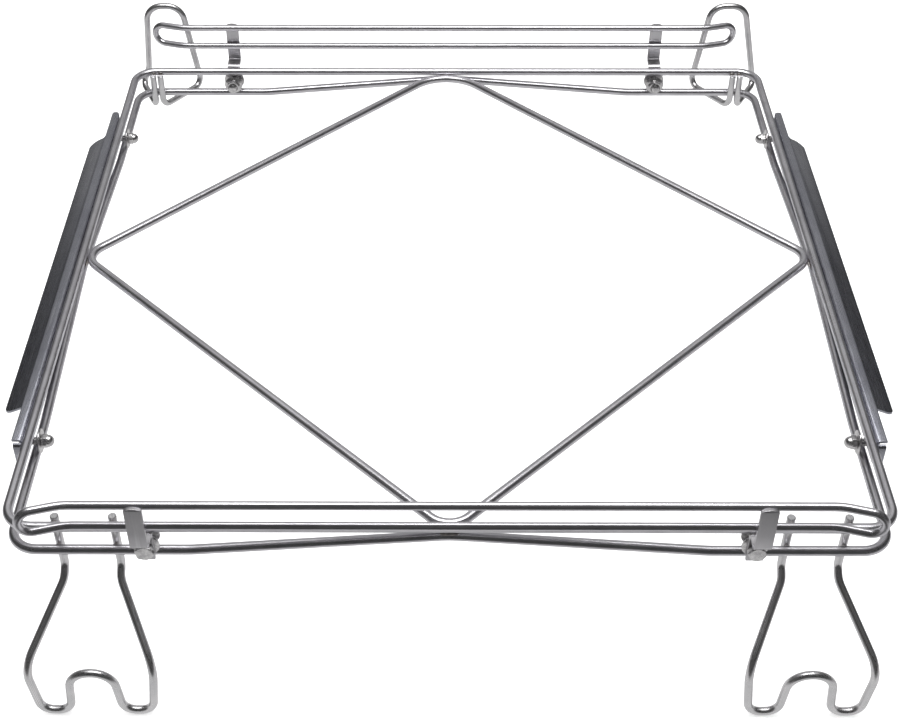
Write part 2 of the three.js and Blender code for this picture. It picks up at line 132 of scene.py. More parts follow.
def add_noise(tree: bpy.types.NodeTree, vector: bpy.types.NodeSocket,
              scale: float, detail: float) -> bpy.types.Node:
    """Adds a noise texture.

    Args:
        tree: node tree of the material.
        vector: socket that gives the place on the piece.
        scale: noise scale.
        detail: number of octaves.

    Returns:
        The noise node.
    """
    noise = tree.nodes.new("ShaderNodeTexNoise")
    noise.inputs["Scale"].default_value = scale
    noise.inputs["Detail"].default_value = detail
    noise.inputs["Roughness"].default_value = 0.6
    tree.links.new(vector, noise.inputs["Vector"])
    return noise


def add_ramp(tree: bpy.types.NodeTree, factor: bpy.types.NodeSocket, low: tuple, high: tuple,
             start: float = 0.3, stop: float = 0.7) -> bpy.types.NodeSocket:
    """Adds a two-colour ramp over a factor.

    Args:
        tree: node tree of the material.
        factor: socket with the factor.
        low: colour at the start.
        high: colour at the stop.
        start: factor of the first colour.
        stop: factor of the second colour.

    Returns:
        The ramp's colour socket.
    """
    ramp = tree.nodes.new("ShaderNodeValToRGB")
    ramp.color_ramp.elements[0].position = start
    ramp.color_ramp.elements[0].color = (*low, 1.0)
    ramp.color_ramp.elements[1].position = stop
    ramp.color_ramp.elements[1].color = (*high, 1.0)
    tree.links.new(factor, ramp.inputs["Fac"])
    return ramp.outputs["Color"]


def add_range(tree: bpy.types.NodeTree, value: bpy.types.NodeSocket, low: float, high: float,
              start: float = 0.3, stop: float = 0.7) -> bpy.types.NodeSocket:
    """Maps a value from start..stop to low..high.

    Args:
        tree: node tree.
        value: socket with the value.
        low: result at the start.
        high: result at the stop.
        start: value that gives low.
        stop: value that gives high.

    Returns:
        The result socket.
    """
    node = tree.nodes.new("ShaderNodeMapRange")
    node.interpolation_type = "SMOOTHSTEP"
    for socket, number in zip(("From Min", "From Max", "To Min", "To Max"), (start, stop, low, high)):
        node.inputs[socket].default_value = number
    tree.links.new(value, node.inputs["Value"])
    return node.outputs["Result"]


def add_bump(tree: bpy.types.NodeTree, shader: bpy.types.Node, height: bpy.types.NodeSocket,
             strength: float, depth: float) -> None:
    """Adds a bump to a shader.

    Args:
        tree: node tree of the material.
        shader: shader that gets the bump.
        height: socket with the height.
        strength: strength of the bump.
        depth: depth of the relief in metres.
    """
    bump = tree.nodes.new("ShaderNodeBump")
    bump.inputs["Strength"].default_value = strength
    bump.inputs["Distance"].default_value = depth
    tree.links.new(height, bump.inputs["Height"])
    tree.links.new(bump.outputs["Normal"], shader.inputs["Normal"])


def mix_colours(tree: bpy.types.NodeTree, factor: bpy.types.NodeSocket, first: bpy.types.NodeSocket,
                second: tuple | bpy.types.NodeSocket) -> bpy.types.NodeSocket:
    """Mixes a second colour over the first.

    Args:
        tree: node tree of the material.
        factor: socket with the share of the second colour.
        first: socket with the first colour.
        second: the second colour, or a socket with it.

    Returns:
        The mixed colour socket.
    """
    mix = tree.nodes.new("ShaderNodeMix")
    mix.data_type = "RGBA"
    tree.links.new(factor, mix.inputs["Factor"])
    tree.links.new(first, mix.inputs[6])
    if isinstance(second, tuple):
        mix.inputs[7].default_value = (*second, 1.0)
    else:
        tree.links.new(second, mix.inputs[7])
    return mix.outputs[2]


@dataclass(frozen=True)
class DrawnWireFinish:
    """Drawn and electropolished stainless wire, with die lines along it and heat marks at the welds."""

    name: str = "polished_drawn_wire"
    light: tuple = (0.74, 0.73, 0.76)
    dark: tuple = (0.63, 0.62, 0.65)
    heat: tuple = (0.22, 0.20, 0.19)
    roughness: tuple = (0.25, 0.36)

    def material(self) -> bpy.types.Material:
        """Builds the node material.

        Returns:
            The material.
        """
        material, shader = new_material(self.name)
        tree = material.node_tree
        place = tree.nodes.new("ShaderNodeTexCoord").outputs["Object"]
        drawn = tree.nodes.new("ShaderNodeAttribute")
        drawn.attribute_name = "drawn"
        heat = tree.nodes.new("ShaderNodeAttribute")
        heat.attribute_name = "heat"
        clouds = add_noise(tree, place, 55.0, 4.0)
        lines = add_noise(tree, drawn.outputs["Vector"], 7.0, 3.0)
        speckle = add_noise(tree, place, 900.0, 2.0)
        tone = add_ramp(tree, clouds.outputs["Fac"], self.dark, self.light, 0.35, 0.62)
        blotches = add_noise(tree, place, 420.0, 3.0)
        edge = add_range(tree, blotches.outputs["Fac"], 0.55, 1.0)
        share = tree.nodes.new("ShaderNodeMath")
        share.operation = "MULTIPLY"
        tree.links.new(heat.outputs["Fac"], share.inputs[0])
        tree.links.new(edge, share.inputs[1])
        colour = mix_colours(tree, share.outputs["Value"], tone, self.heat)
        tree.links.new(colour, shader.inputs["Base Color"])
        polish = add_range(tree, lines.outputs["Fac"], self.roughness[0], self.roughness[1])
        dull = tree.nodes.new("ShaderNodeMath")
        dull.operation = "MULTIPLY_ADD"
        dull.inputs[1].default_value = 0.25
        tree.links.new(heat.outputs["Fac"], dull.inputs[0])
        tree.links.new(polish, dull.inputs[2])
        tree.links.new(dull.outputs["Value"], shader.inputs["Roughness"])
        relief = tree.nodes.new("ShaderNodeMath")
        relief.operation = "MULTIPLY_ADD"
        relief.inputs[1].default_value = 0.35
        tree.links.new(speckle.outputs["Fac"], relief.inputs[0])
        tree.links.new(lines.outputs["Fac"], relief.inputs[2])
        add_bump(tree, shader, relief.outputs["Value"], 0.12, 0.00005)
        return material


@dataclass(frozen=True)
class RolledSheetFinish:
    """Cold rolled stainless sheet or flat bar, with its grain along one axis and fine handling scratches."""

    name: str
    light: tuple
    dark: tuple
    roughness: tuple
    grain: tuple = (1.0, 0.03, 1.0)
    scratch: tuple = (0.80, 0.80, 0.82)

    def material(self) -> bpy.types.Material:
        """Builds the node material.

        Returns:
            The material.
        """
        material, shader = new_material(self.name)
        tree = material.node_tree
        place = tree.nodes.new("ShaderNodeTexCoord").outputs["Object"]
        along = tree.nodes.new("ShaderNodeMapping")
        along.inputs["Scale"].default_value = self.grain
        tree.links.new(place, along.inputs["Vector"])
        clouds = add_noise(tree, place, 26.0, 4.0)
        grain = add_noise(tree, along.outputs["Vector"], 2600.0, 3.0)
        wide = add_noise(tree, along.outputs["Vector"], 420.0, 2.0)
        tone = add_ramp(tree, clouds.outputs["Fac"], self.dark, self.light, 0.32, 0.68)
        scratches = add_range(tree, wide.outputs["Fac"], 0.0, 0.35, 0.60, 0.74)
        colour = mix_colours(tree, scratches, tone, self.scratch)
        tree.links.new(colour, shader.inputs["Base Color"])
        polish = add_range(tree, grain.outputs["Fac"], self.roughness[0], self.roughness[1], 0.25, 0.75)
        tree.links.new(polish, shader.inputs["Roughness"])
        shader.inputs["Anisotropic"].default_value = 0.35
        add_bump(tree, shader, grain.outputs["Fac"], 0.16, 0.00006)
        return material


@dataclass(frozen=True)
class FastenerFinish:
    """Bright cold formed stainless screws, washers and nuts with small dents and blotches of darker tone at
    random.
    """

    name: str = "bright_fastener"
    light: tuple = (0.80, 0.79, 0.79)
    dark: tuple = (0.55, 0.54, 0.55)
    roughness: tuple = (0.20, 0.36)

    def material(self) -> bpy.types.Material:
        """Builds the node material.

        Returns:
            The material.
        """
        material, shader = new_material(self.name)
        tree = material.node_tree
        place = tree.nodes.new("ShaderNodeTexCoord").outputs["Object"]
        clouds = add_noise(tree, place, 330.0, 4.0)
        fine = add_noise(tree, place, 2400.0, 3.0)
        tone = add_ramp(tree, clouds.outputs["Fac"], self.dark, self.light, 0.36, 0.60)
        tree.links.new(tone, shader.inputs["Base Color"])
        polish = add_range(tree, fine.outputs["Fac"], self.roughness[0], self.roughness[1])
        tree.links.new(polish, shader.inputs["Roughness"])
        add_bump(tree, shader, fine.outputs["Fac"], 0.2, 0.00006)
        return material


@dataclass(frozen=True)
class WeldFinish:
    """Spot weld metal: darker, rough and slightly brown from the heat."""

    name: str = "weld_metal"
    light: tuple = (0.52, 0.49, 0.47)
    dark: tuple = (0.26, 0.24, 0.24)

    def material(self) -> bpy.types.Material:
        """Builds the node material.

        Returns:
            The material.
        """
        material, shader = new_material(self.name)
        tree = material.node_tree
        place = tree.nodes.new("ShaderNodeTexCoord").outputs["Object"]
        lumps = add_noise(tree, place, 620.0, 5.0)
        tone = add_ramp(tree, lumps.outputs["Fac"], self.dark, self.light, 0.35, 0.65)
        tree.links.new(tone, shader.inputs["Base Color"])
        rough = add_range(tree, lumps.outputs["Fac"], 0.30, 0.55)
        tree.links.new(rough, shader.inputs["Roughness"])
        add_bump(tree, shader, lumps.outputs["Fac"], 0.6, 0.0002)
        return material


@dataclass
class Finishes:
    """The materials of the frame, each built once."""

    wire: bpy.types.Material = field(default_factory=lambda: DrawnWireFinish().material())
    # lighter copy of the same drawn wire: painted light standing in for the brighter reflections on the
    # upright legs and hooks
    rod: bpy.types.Material = field(default_factory=lambda: DrawnWireFinish(
        "leg_wire_painted_lighter", (0.80, 0.79, 0.80), (0.68, 0.68, 0.69)).material())
    slide: bpy.types.Material = field(default_factory=lambda: RolledSheetFinish(
        "rolled_slide_sheet", (0.44, 0.445, 0.49), (0.34, 0.345, 0.39), (0.22, 0.34)).material())
    strap: bpy.types.Material = field(default_factory=lambda: RolledSheetFinish(
        "rolled_strap_bar", (0.66, 0.65, 0.67), (0.56, 0.55, 0.57),
        (0.28, 0.42), (1.0, 1.0, 0.03)).material())
    fastener: bpy.types.Material = field(default_factory=lambda: FastenerFinish().material())
    weld: bpy.types.Material = field(default_factory=lambda: WeldFinish().material())


# ---------------------------------------------------------------- modelling helpers


def deselect_all() -> None:
    """Leaves nothing selected in object mode."""
    bpy.ops.object.select_all(action="DESELECT")


def select_only(piece: bpy.types.Object) -> None:
    """Makes one object selected and active.

    Args:
        piece: the object.
    """
    deselect_all()
    piece.select_set(True)
    bpy.context.view_layer.objects.active = piece


def edit(piece: bpy.types.Object) -> None:
    """Opens a piece in edit mode with everything selected.

    Args:
        piece: the piece.
    """
    select_only(piece)
    bpy.ops.object.mode_set(mode="EDIT")
    bpy.ops.mesh.select_all(action="SELECT")


def leave_edit() -> None:
    """Goes back to object mode."""
    bpy.ops.object.mode_set(mode="OBJECT")


def pick(piece: bpy.types.Object, kind: str, wanted: Callable[..., bool]) -> None:
    """Selects the vertices, edges or faces of a piece in edit mode by their place.

    Args:
        piece: piece that is open in edit mode.
        kind: VERT, EDGE or FACE.
        wanted: function of a face, or of the middle of a vertex or edge, that says which ones are taken.
    """
    bpy.ops.mesh.select_mode(type=kind)
    bpy.ops.mesh.select_all(action="DESELECT")
    leave_edit()
    mesh = piece.data
    if kind == "FACE":
        for face in mesh.polygons:
            face.select = wanted(face)
    elif kind == "EDGE":
        for line in mesh.edges:
            ends = [mesh.vertices[i].co for i in line.vertices]
            line.select = wanted((ends[0] + ends[1]) / 2)
    else:
        for vertex in mesh.vertices:
            vertex.select = wanted(vertex.co)
    bpy.ops.object.mode_set(mode="EDIT")


def extrude(move: Vector) -> None:
    """Extrudes what is selected by a move."""
    bpy.ops.mesh.extrude_region_move(TRANSFORM_OT_translate={"value": tuple(move)})


def resize(scale: tuple, centre: Vector) -> None:
    """Scales what is selected about a centre."""
    bpy.ops.transform.resize(value=scale, center_override=tuple(centre))


def apply_modifier(piece: bpy.types.Object, kind: str, **settings: object) -> None:
    """Adds a modifier, sets it up and applies it.

    Args:
        piece: piece that gets the modifier.
        kind: Blender's modifier type.
        settings: its settings.
    """
    select_only(piece)
    modifier = piece.modifiers.new(kind.lower(), kind)
    for key, value in settings.items():
        setattr(modifier, key, value)
    bpy.ops.object.modifier_apply(modifier=modifier.name)


def combine(piece: bpy.types.Object, tool: bpy.types.Object, operation: str) -> bpy.types.Object:
    """Joins, cuts or intersects a piece with a tool, which is removed.

    Args:
        piece: piece that is kept.
        tool: second closed shape.
        operation: UNION, DIFFERENCE or INTERSECT.

    Returns:
        The piece.
    """
    apply_modifier(piece, "BOOLEAN", object=tool, operation=operation, solver="EXACT")
    bpy.data.objects.remove(tool, do_unlink=True)
    return piece


def settle(piece: bpy.types.Object, name: str, smooth_under: float = 32.0) -> bpy.types.Object:
    """Names a piece, applies its place and smooths it.

    Args:
        piece: the finished shape.
        name: name of the piece.
        smooth_under: edges flatter than this many degrees are smooth.

    Returns:
        The piece.
    """
    select_only(piece)
    piece.name = name
    piece.data.name = name
    bpy.ops.object.transform_apply(location=True, rotation=True, scale=True)
    bpy.ops.object.shade_smooth_by_angle(angle=math.radians(smooth_under))
    return piece


def copy_at(piece: bpy.types.Object, name: str, place: Matrix) -> bpy.types.Object:
    """Copies a piece with a mesh of its own and moves the mesh.

    Args:
        piece: model that is copied.
        name: name of the copy.
        place: where the copy goes.

    Returns:
        The copy.
    """
    copy = piece.copy()
    copy.data = piece.data.copy()
    copy.name = name
    copy.data.name = name
    copy.data.transform(place)
    bpy.context.scene.collection.objects.link(copy)
    if place.determinant() < 0:
        edit(copy)
        bpy.ops.mesh.flip_normals()
        leave_edit()
    return copy


def discard(*pieces: bpy.types.Object) -> None:
    """Removes the models that were only copied from."""
    for piece in pieces:
        bpy.data.objects.remove(piece, do_unlink=True)


def dress(piece: bpy.types.Object, material: bpy.types.Material, slot: Slot, body: str, *nodes: str) -> None:
    """Gives a piece its finish, its body and the nodes that it stands for.

    Args:
        piece: the finished piece.
        material: its material.
        slot: the record's slot; not used.
        body: body that it moves with.
        nodes: nodes that it stands for.
    """
    piece.data.materials.clear()
    piece.data.materials.append(material)
    if nodes:
        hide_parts(*nodes)
    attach(piece, body)
    log.info("%s rides on %s, %d faces", piece.name, body, len(piece.data.polygons))


# ---------------------------------------------------------------- wire bending


@dataclass
class Corner:
    """A corner of a bent wire: where its straight runs would meet, and the bend radius."""

    at: Vector
    radius: float = 0.0


def corner(x: float, y: float, z: float, radius: float = 0.0) -> Corner:
    """Makes a corner at a place counted from the middle of the upper ring."""
    return Corner(MIDDLE + Vector((x, y, z)), radius)


@dataclass
class Bend:
    """A round bend: where it starts and stops, its centre, axis and angle."""

    start: Vector
    stop: Vector
    centre: Vector
    axis: Vector
    angle: float


def bend_at(before: Vector, here: Corner, after: Vector) -> Bend:
    """Works out the bend at a corner.

    Args:
        before: corner before it.
        here: the corner.
        after: corner after it.

    Returns:
        The bend.
    """
    into = (here.at - before).normalized()
    out_of = (after - here.at).normalized()
    angle = into.angle(out_of)
    setback = here.radius * math.tan(angle / 2)
    start = here.at - into * setback
    inward = (out_of - into * out_of.dot(into)).normalized()
    return Bend(start, here.at + out_of * setback, start + inward * here.radius, into.cross(inward), angle)


@dataclass
class WireBender:
    """Bends a length of bar: a section is pushed along straight runs and spun round the bends."""

    section: float
    sides: int = 24
    step: float = math.radians(7.5)
    run: float = 0.010

    def push(self, start: Vector, stop: Vector, trail: list[Vector]) -> None:
        """Extrudes the section along a straight run.

        Args:
            start: where the section is.
            stop: where it goes.
            trail: centre line so far, which gets the new stations.
        """
        length = (stop - start).length
        if length < 1e-6:
            return
        parts = max(1, round(length / self.run))
        for part in range(parts):
            extrude((stop - start) / parts)
            trail.append(start.lerp(stop, (part + 1) / parts))

    def turn(self, bend: Bend, trail: list[Vector]) -> None:
        """Spins the section round a bend.

        Args:
            bend: the bend.
            trail: centre line so far, which gets the new stations.
        """
        steps = max(2, round(bend.angle / self.step))
        bpy.ops.mesh.spin(
            steps=steps, dupli=False, angle=-bend.angle, center=tuple(bend.centre), axis=tuple(bend.axis))
        for k in range(1, steps + 1):
            swing = Matrix.Rotation(bend.angle * k / steps, 3, bend.axis)
            trail.append(bend.centre + swing @ (bend.start - bend.centre))

    def begin(self, start: Vector, toward: Vector) -> bpy.types.Object:
        """Adds the round section at the start of the wire.

        Args:
            start: where the wire starts.
            toward: direction of its first run.

        Returns:
            The piece, open in edit mode.
        """
        deselect_all()
        turned = toward.to_track_quat("Z", "Y").to_euler()
        bpy.ops.mesh.primitive_circle_add(
            vertices=self.sides, radius=self.section / 2, fill_type="NOTHING",
            location=start, rotation=turned)
        piece = bpy.context.active_object
        bpy.ops.object.transform_apply(location=True, rotation=True, scale=True)
        edit(piece)
        return piece

    @property
    def chamfer(self) -> float:
        """Length of the chamfer on a cut end."""
        return self.section * 0.07

    def close_end(self, place: Vector, outward: Vector) -> None:
        """Chamfers and closes the cut end that is selected.

        Args:
            place: middle of the section, one chamfer before the end.
            outward: direction out of the wire.
        """
        extrude(outward * self.chamfer)
        resize((0.86, 0.86, 0.86), place + outward * self.chamfer)
        bpy.ops.mesh.edge_face_add()

    def bend(self, name: str, corners: list[Corner], closed: bool = False) -> bpy.types.Object:
        """Bends a wire through its corners.

        Args:
            name: name of the piece.
            corners: corners of the wire; an open wire's first and last are its ends.
            closed: whether the wire is a closed loop.

        Returns:
            The finished piece.
        """
        count = len(corners)
        inner = range(count) if closed else range(1, count - 1)
        bends = [bend_at(corners[i - 1].at, corners[i], corners[(i + 1) % count].at) for i in inner]
        if closed:
            start = bends[-1].stop.lerp(bends[0].start, 0.5)
            stop = start
        else:
            start = corners[0].at + (bends[0].start - corners[0].at).normalized() * self.chamfer
            stop = corners[-1].at + (bends[-1].stop - corners[-1].at).normalized() * self.chamfer
        toward = (bends[0].start - start).normalized()
        piece = self.begin(start, toward)
        trail = [start.copy()]
        here = start
        for one in bends:
            self.push(here, one.start, trail)
            self.turn(one, trail)
            here = one.stop
        self.push(here, stop, trail)
        if closed:
            bpy.ops.mesh.select_all(action="SELECT")
            bpy.ops.mesh.remove_doubles(threshold=1e-5)
            trail.pop()
        else:
            self.close_end(stop, (stop - here).normalized())
            pick(piece, "VERT", lambda co: (piece.matrix_world @ co - start).length < self.section * 0.51)
            self.close_end(start, -toward)
            bpy.ops.mesh.select_all(action="SELECT")
        bpy.ops.mesh.normals_make_consistent(inside=False)
        leave_edit()
        settle(piece, name)
        mark_drawing(piece, trail)
        return piece


def mark_drawing(piece: bpy.types.Object, trail: list[Vector]) -> None:
    """Stores where each point lies round and along the wire, for the die lines.

    Args:
        piece: a bent wire.
        trail: stations of its centre line.
    """
    stations = np.array([tuple(p) for p in trail])
    steps = np.linalg.norm(np.diff(stations, axis=0), axis=1)
    run = np.concatenate([[0.0], np.cumsum(steps)])
    points = np.zeros(len(piece.data.vertices) * 3)
    piece.data.vertices.foreach_get("co", points)
    points = points.reshape(-1, 3)
    drawn = piece.data.attributes.new("drawn", "FLOAT_VECTOR", "POINT")
    values = np.zeros_like(points)
    for i, point in enumerate(points):
        nearest = int(np.argmin(((stations - point) ** 2).sum(axis=1)))
        offset = point - stations[nearest]
        offset = offset / max(np.linalg.norm(offset), 1e-9)
        values[i] = (offset[0] + 0.4 * offset[1], offset[2], run[nearest] * 0.9)
    drawn.data.foreach_set("vector", values.ravel())


def mark_heat(piece: bpy.types.Object, welds: list[Vector], reach: float = 0.009) -> None:
    """Stores how close each point is to a weld, for the heat marks.

    Args:
        piece: a bent wire.
        welds: where it is welded.
        reach: distance at which the mark has gone.
    """
    heat = piece.data.attributes.new("heat", "FLOAT", "POINT")
    values = []
    for vertex in piece.data.vertices:
        nearest = min(((vertex.co - weld).length for weld in welds), default=1.0)
        values.append(max(0.0, 1.0 - nearest / reach))
    heat.data.foreach_set("value", values)


@dataclass
class FlatBender(WireBender):
    """Bends flat bar; the section is its thickness and the width lies along X."""

    width: float = 0.010

    def begin(self, start: Vector, toward: Vector) -> bpy.types.Object:
        """Adds the flat section at the start of the bar.

        Args:
            start: where the bar starts.
            toward: direction of its first run, straight up or along Y.

        Returns:
            The piece, open in edit mode.
        """
        deselect_all()
        up = abs(toward.z) > 0.5
        size = (self.width, self.section, 1.0) if up else (self.width, 1.0, self.section)
        turned = (0.0, 0.0, 0.0) if up else (math.pi / 2, 0.0, 0.0)
        bpy.ops.mesh.primitive_plane_add(size=1.0, location=start, rotation=turned)
        piece = bpy.context.active_object
        bpy.ops.object.transform_apply(location=False, rotation=True, scale=True)
        piece.scale = size
        bpy.ops.object.transform_apply(location=True, rotation=True, scale=True)
        edit(piece)
        bpy.ops.mesh.delete(type="ONLY_FACE")
        bpy.ops.mesh.select_all(action="SELECT")
        return piece

    def close_end(self, place: Vector, outward: Vector) -> None:
        """Closes the sheared end that is selected."""
        extrude(outward * self.chamfer)
        bpy.ops.mesh.edge_face_add()


def fold_sheet(name: str, start: Vector, length: float, corners: list[Corner],
               thick: float) -> bpy.types.Object:
    """Folds sheet metal: a long edge along Y is pushed up, over and down its section.

    Args:
        name: name of the piece.
        start: middle of the first edge, on the sheet's middle surface.
        length: length of the edge.
        corners: corners of the section after the start; the last one is the free edge.
        thick: thickness of the sheet.

    Returns:
        The folded sheet with its thickness.
    """
    deselect_all()
    bpy.ops.mesh.primitive_plane_add(size=length, location=start)
    piece = bpy.context.active_object
    bpy.ops.object.transform_apply(location=True, rotation=True, scale=True)
    edit(piece)
    pick(piece, "VERT", lambda co: co.x < start.x)
    bpy.ops.mesh.delete(type="VERT")
    bpy.ops.mesh.select_all(action="SELECT")
    bpy.ops.transform.translate(value=(-length / 2, 0.0, 0.0))
    places = [start] + [one.at for one in corners]
    here = start
    bender = WireBender(thick, step=math.radians(10))
    for i, one in enumerate(corners[:-1]):
        bend = bend_at(places[i], one, places[i + 2])
        extrude(bend.start - here)
        bender.turn(bend, [])
        here = bend.stop
    extrude(corners[-1].at - here)
    bpy.ops.mesh.select_all(action="SELECT")
    bpy.ops.mesh.remove_doubles(threshold=1e-5)
    bpy.ops.mesh.normals_make_consistent(inside=False)
    leave_edit()
    apply_modifier(piece, "SOLIDIFY", thickness=thick, offset=0.0)
    return settle(piece, name)


def turn_up(name: str, rings: list[tuple], sides: int = 48, closed: bool = False) -> bpy.types.Object:
    """Turns a round part about +Z from its rings, as on a lathe.

    Args:
        name: name of the part.
        rings: (radius, height) of each ring, in the order of its outline.
        sides: number of sides.
        closed: whether the last ring joins the first, as on a washer.

    Returns:
        The turned part at the origin.
    """
    deselect_all()
    radius, height = rings[0]
    bpy.ops.mesh.primitive_circle_add(
        vertices=sides, radius=radius, fill_type="NOTHING", location=(0, 0, height))
    part = bpy.context.active_object
    bpy.ops.object.transform_apply(location=True, rotation=True, scale=True)
    edit(part)
    bpy.ops.mesh.select_mode(type="VERT")  # face mode, left by the piece before, can't select an open ring
    bpy.ops.mesh.select_all(action="SELECT")
    if not closed:
        bpy.ops.mesh.edge_face_add()
    for next_radius, next_height in rings[1:] + (rings[:1] if closed else []):
        extrude(Vector((0, 0, next_height - height)))
        ratio = next_radius / radius
        if abs(ratio - 1.0) > 1e-9:
            resize((ratio, ratio, 1.0), Vector((0, 0, next_height)))
        radius, height = next_radius, next_height
    bpy.ops.mesh.select_all(action="SELECT")
    bpy.ops.mesh.remove_doubles(threshold=1e-6)
    bpy.ops.mesh.normals_make_consistent(inside=False)
    leave_edit()
    return settle(part, name)


def break_edges(piece: bpy.types.Object, width: float, segments: int, sharper_than: float) -> None:
    """Rounds the sharp edges of a piece.

    Args:
        piece: the piece.
        width: width of the rounding.
        segments: number of faces across it.
        sharper_than: edges that turn by more degrees than this are rounded.
    """
    apply_modifier(piece, "BEVEL", width=width, segments=segments,
                   limit_method="ANGLE", angle_limit=math.radians(sharper_than))


def drill(piece: bpy.types.Object, place: Vector, radius: float, depth: float, rotation: tuple) -> None:
    """Drills a round hole through a piece.

    Args:
        piece: the piece.
        place: middle of the hole.
        radius: radius of the hole.
        depth: length of the drill.
        rotation: turn of the drill from +Z.
    """
    deselect_all()
    bpy.ops.mesh.primitive_cylinder_add(
        vertices=HOLE_SIDES, radius=radius, depth=depth, rotation=rotation, location=place)
    combine(piece, bpy.context.active_object, "DIFFERENCE")


def hexagon(name: str, corners: float, low: float, high: float,
            chamfer_low: bool = False) -> bpy.types.Object:
    """Makes a hexagon bar end with its corners turned off at the top.

    Args:
        name: name of the part.
        corners: width across its corners.
        low: lowest level.
        high: highest level.
        chamfer_low: whether the lower corners are turned off too.

    Returns:
        The part, standing along +Z.
    """
    deselect_all()
    bpy.ops.mesh.primitive_cylinder_add(
        vertices=6, radius=corners / 2, depth=high - low, location=(0, 0, (low + high) / 2))
    part = bpy.context.active_object
    bpy.ops.object.transform_apply(location=True, rotation=True, scale=True)
    flat = corners * 0.866 / 2 * 0.97
    wide = corners * 0.55
    drop = (wide - flat) * 0.577  # 30 degree chamfer
    lower = [(flat, low - 1e-5), (wide, low + drop)] if chamfer_low else [(wide, low - 1e-4)]
    rings = lower + [(wide, high - drop), (flat, high + 1e-5)]
    combine(part, turn_up("corner_round", rings), "INTERSECT")
    break_edges(part, 0.00012, 2, 35)
    return settle(part, name, 30)


def stand(place: Vector, direction: Vector, turn: float = 0.0) -> Matrix:
    """Gives the place of a model that was drawn along +Z.

    Args:
        place: where its origin goes.
        direction: where its +Z points.
        turn: turn about its own axis in degrees.

    Returns:
        The matrix for copy_at.
    """
    facing = direction.to_track_quat("Z", "Y").to_matrix().to_4x4()
    return Matrix.Translation(place) @ facing @ Matrix.Rotation(math.radians(turn), 4, "Z")


def mirrored(x: float = 1.0, y: float = 1.0) -> Matrix:
    """Mirrors a piece about the middle of the frame."""
    return Matrix.Translation(MIDDLE) @ Matrix.Diagonal((x, y, 1.0, 1.0)) @ Matrix.Translation(-MIDDLE)


# ---------------------------------------------------------------- rings and brace


@dataclass
class BasketRings:
    """The upper ring, the lower ring that climbs to it, and the diamond brace between them."""

    wire: float = 0.006
    half: float = 0.253
    corner_radius: float = 0.016
    drop: float = 0.0189
    crank_start: float = 0.148
    crank_radius: float = 0.060
    brace_corners: tuple = ((0.0, 0.261, 0.261), (-0.2535, 0.005, 0.2535), (0.0, -0.2535, 0.2535),
                            (0.2535, 0.005, 0.2535))
    brace_weld: float = 0.2472
    brace_level: float = -0.003

    def upper(self) -> bpy.types.Object:
        """Bends the upper ring.

        Returns:
            The ring.
        """
        turns = [(1, 1), (-1, 1), (-1, -1), (1, -1)]
        corners = [corner(sx * self.half, sy * self.half, 0.0, self.corner_radius) for sx, sy in turns]
        return WireBender(self.wire).bend("upper_ring_wire", corners, closed=True)

    def lower(self) -> bpy.types.Object:
        """Bends the lower ring, whose sides climb to the upper ring in their middle.

        Returns:
            The ring.
        """
        along = [(self.half, -self.drop, self.corner_radius),
                 (self.crank_start, -self.drop, self.crank_radius),
                 (0.0, -self.wire - GAP, self.crank_radius),
                 (-self.crank_start, -self.drop, self.crank_radius)]
        corners = []
        for quarter in range(4):
            turned = Matrix.Rotation(quarter * math.pi / 2, 3, "Z")
            for x, z, radius in along:
                corners.append(Corner(MIDDLE + turned @ Vector((x, self.half, z)), radius))
        return WireBender(self.wire).bend("lower_ring_wire", corners, closed=True)

    def brace(self) -> bpy.types.Object:
        """Bends the diamond brace.

        Returns:
            The brace.
        """
        corners = [corner(x, y, self.brace_level, (reach - self.brace_weld) / (math.sqrt(2) - 1))
                   for x, y, reach in self.brace_corners]
        return WireBender(self.wire).bend("diamond_brace_wire", corners, closed=True)

    def build(self, finishes: Finishes, welds: list[Vector]) -> None:
        """Builds and dresses the three closed wires.

        Args:
            finishes: the materials.
            welds: where wires are welded together.
        """
        made = ((self.upper(), "upper_ring"), (self.lower(), "lower_ring"), (self.brace(), "diamond_brace"))
        for piece, node in made:
            mark_heat(piece, welds)
            dress(piece, finishes.wire, Slot.RING, "frame", node)


# ---------------------------------------------------------------- legs and hooks


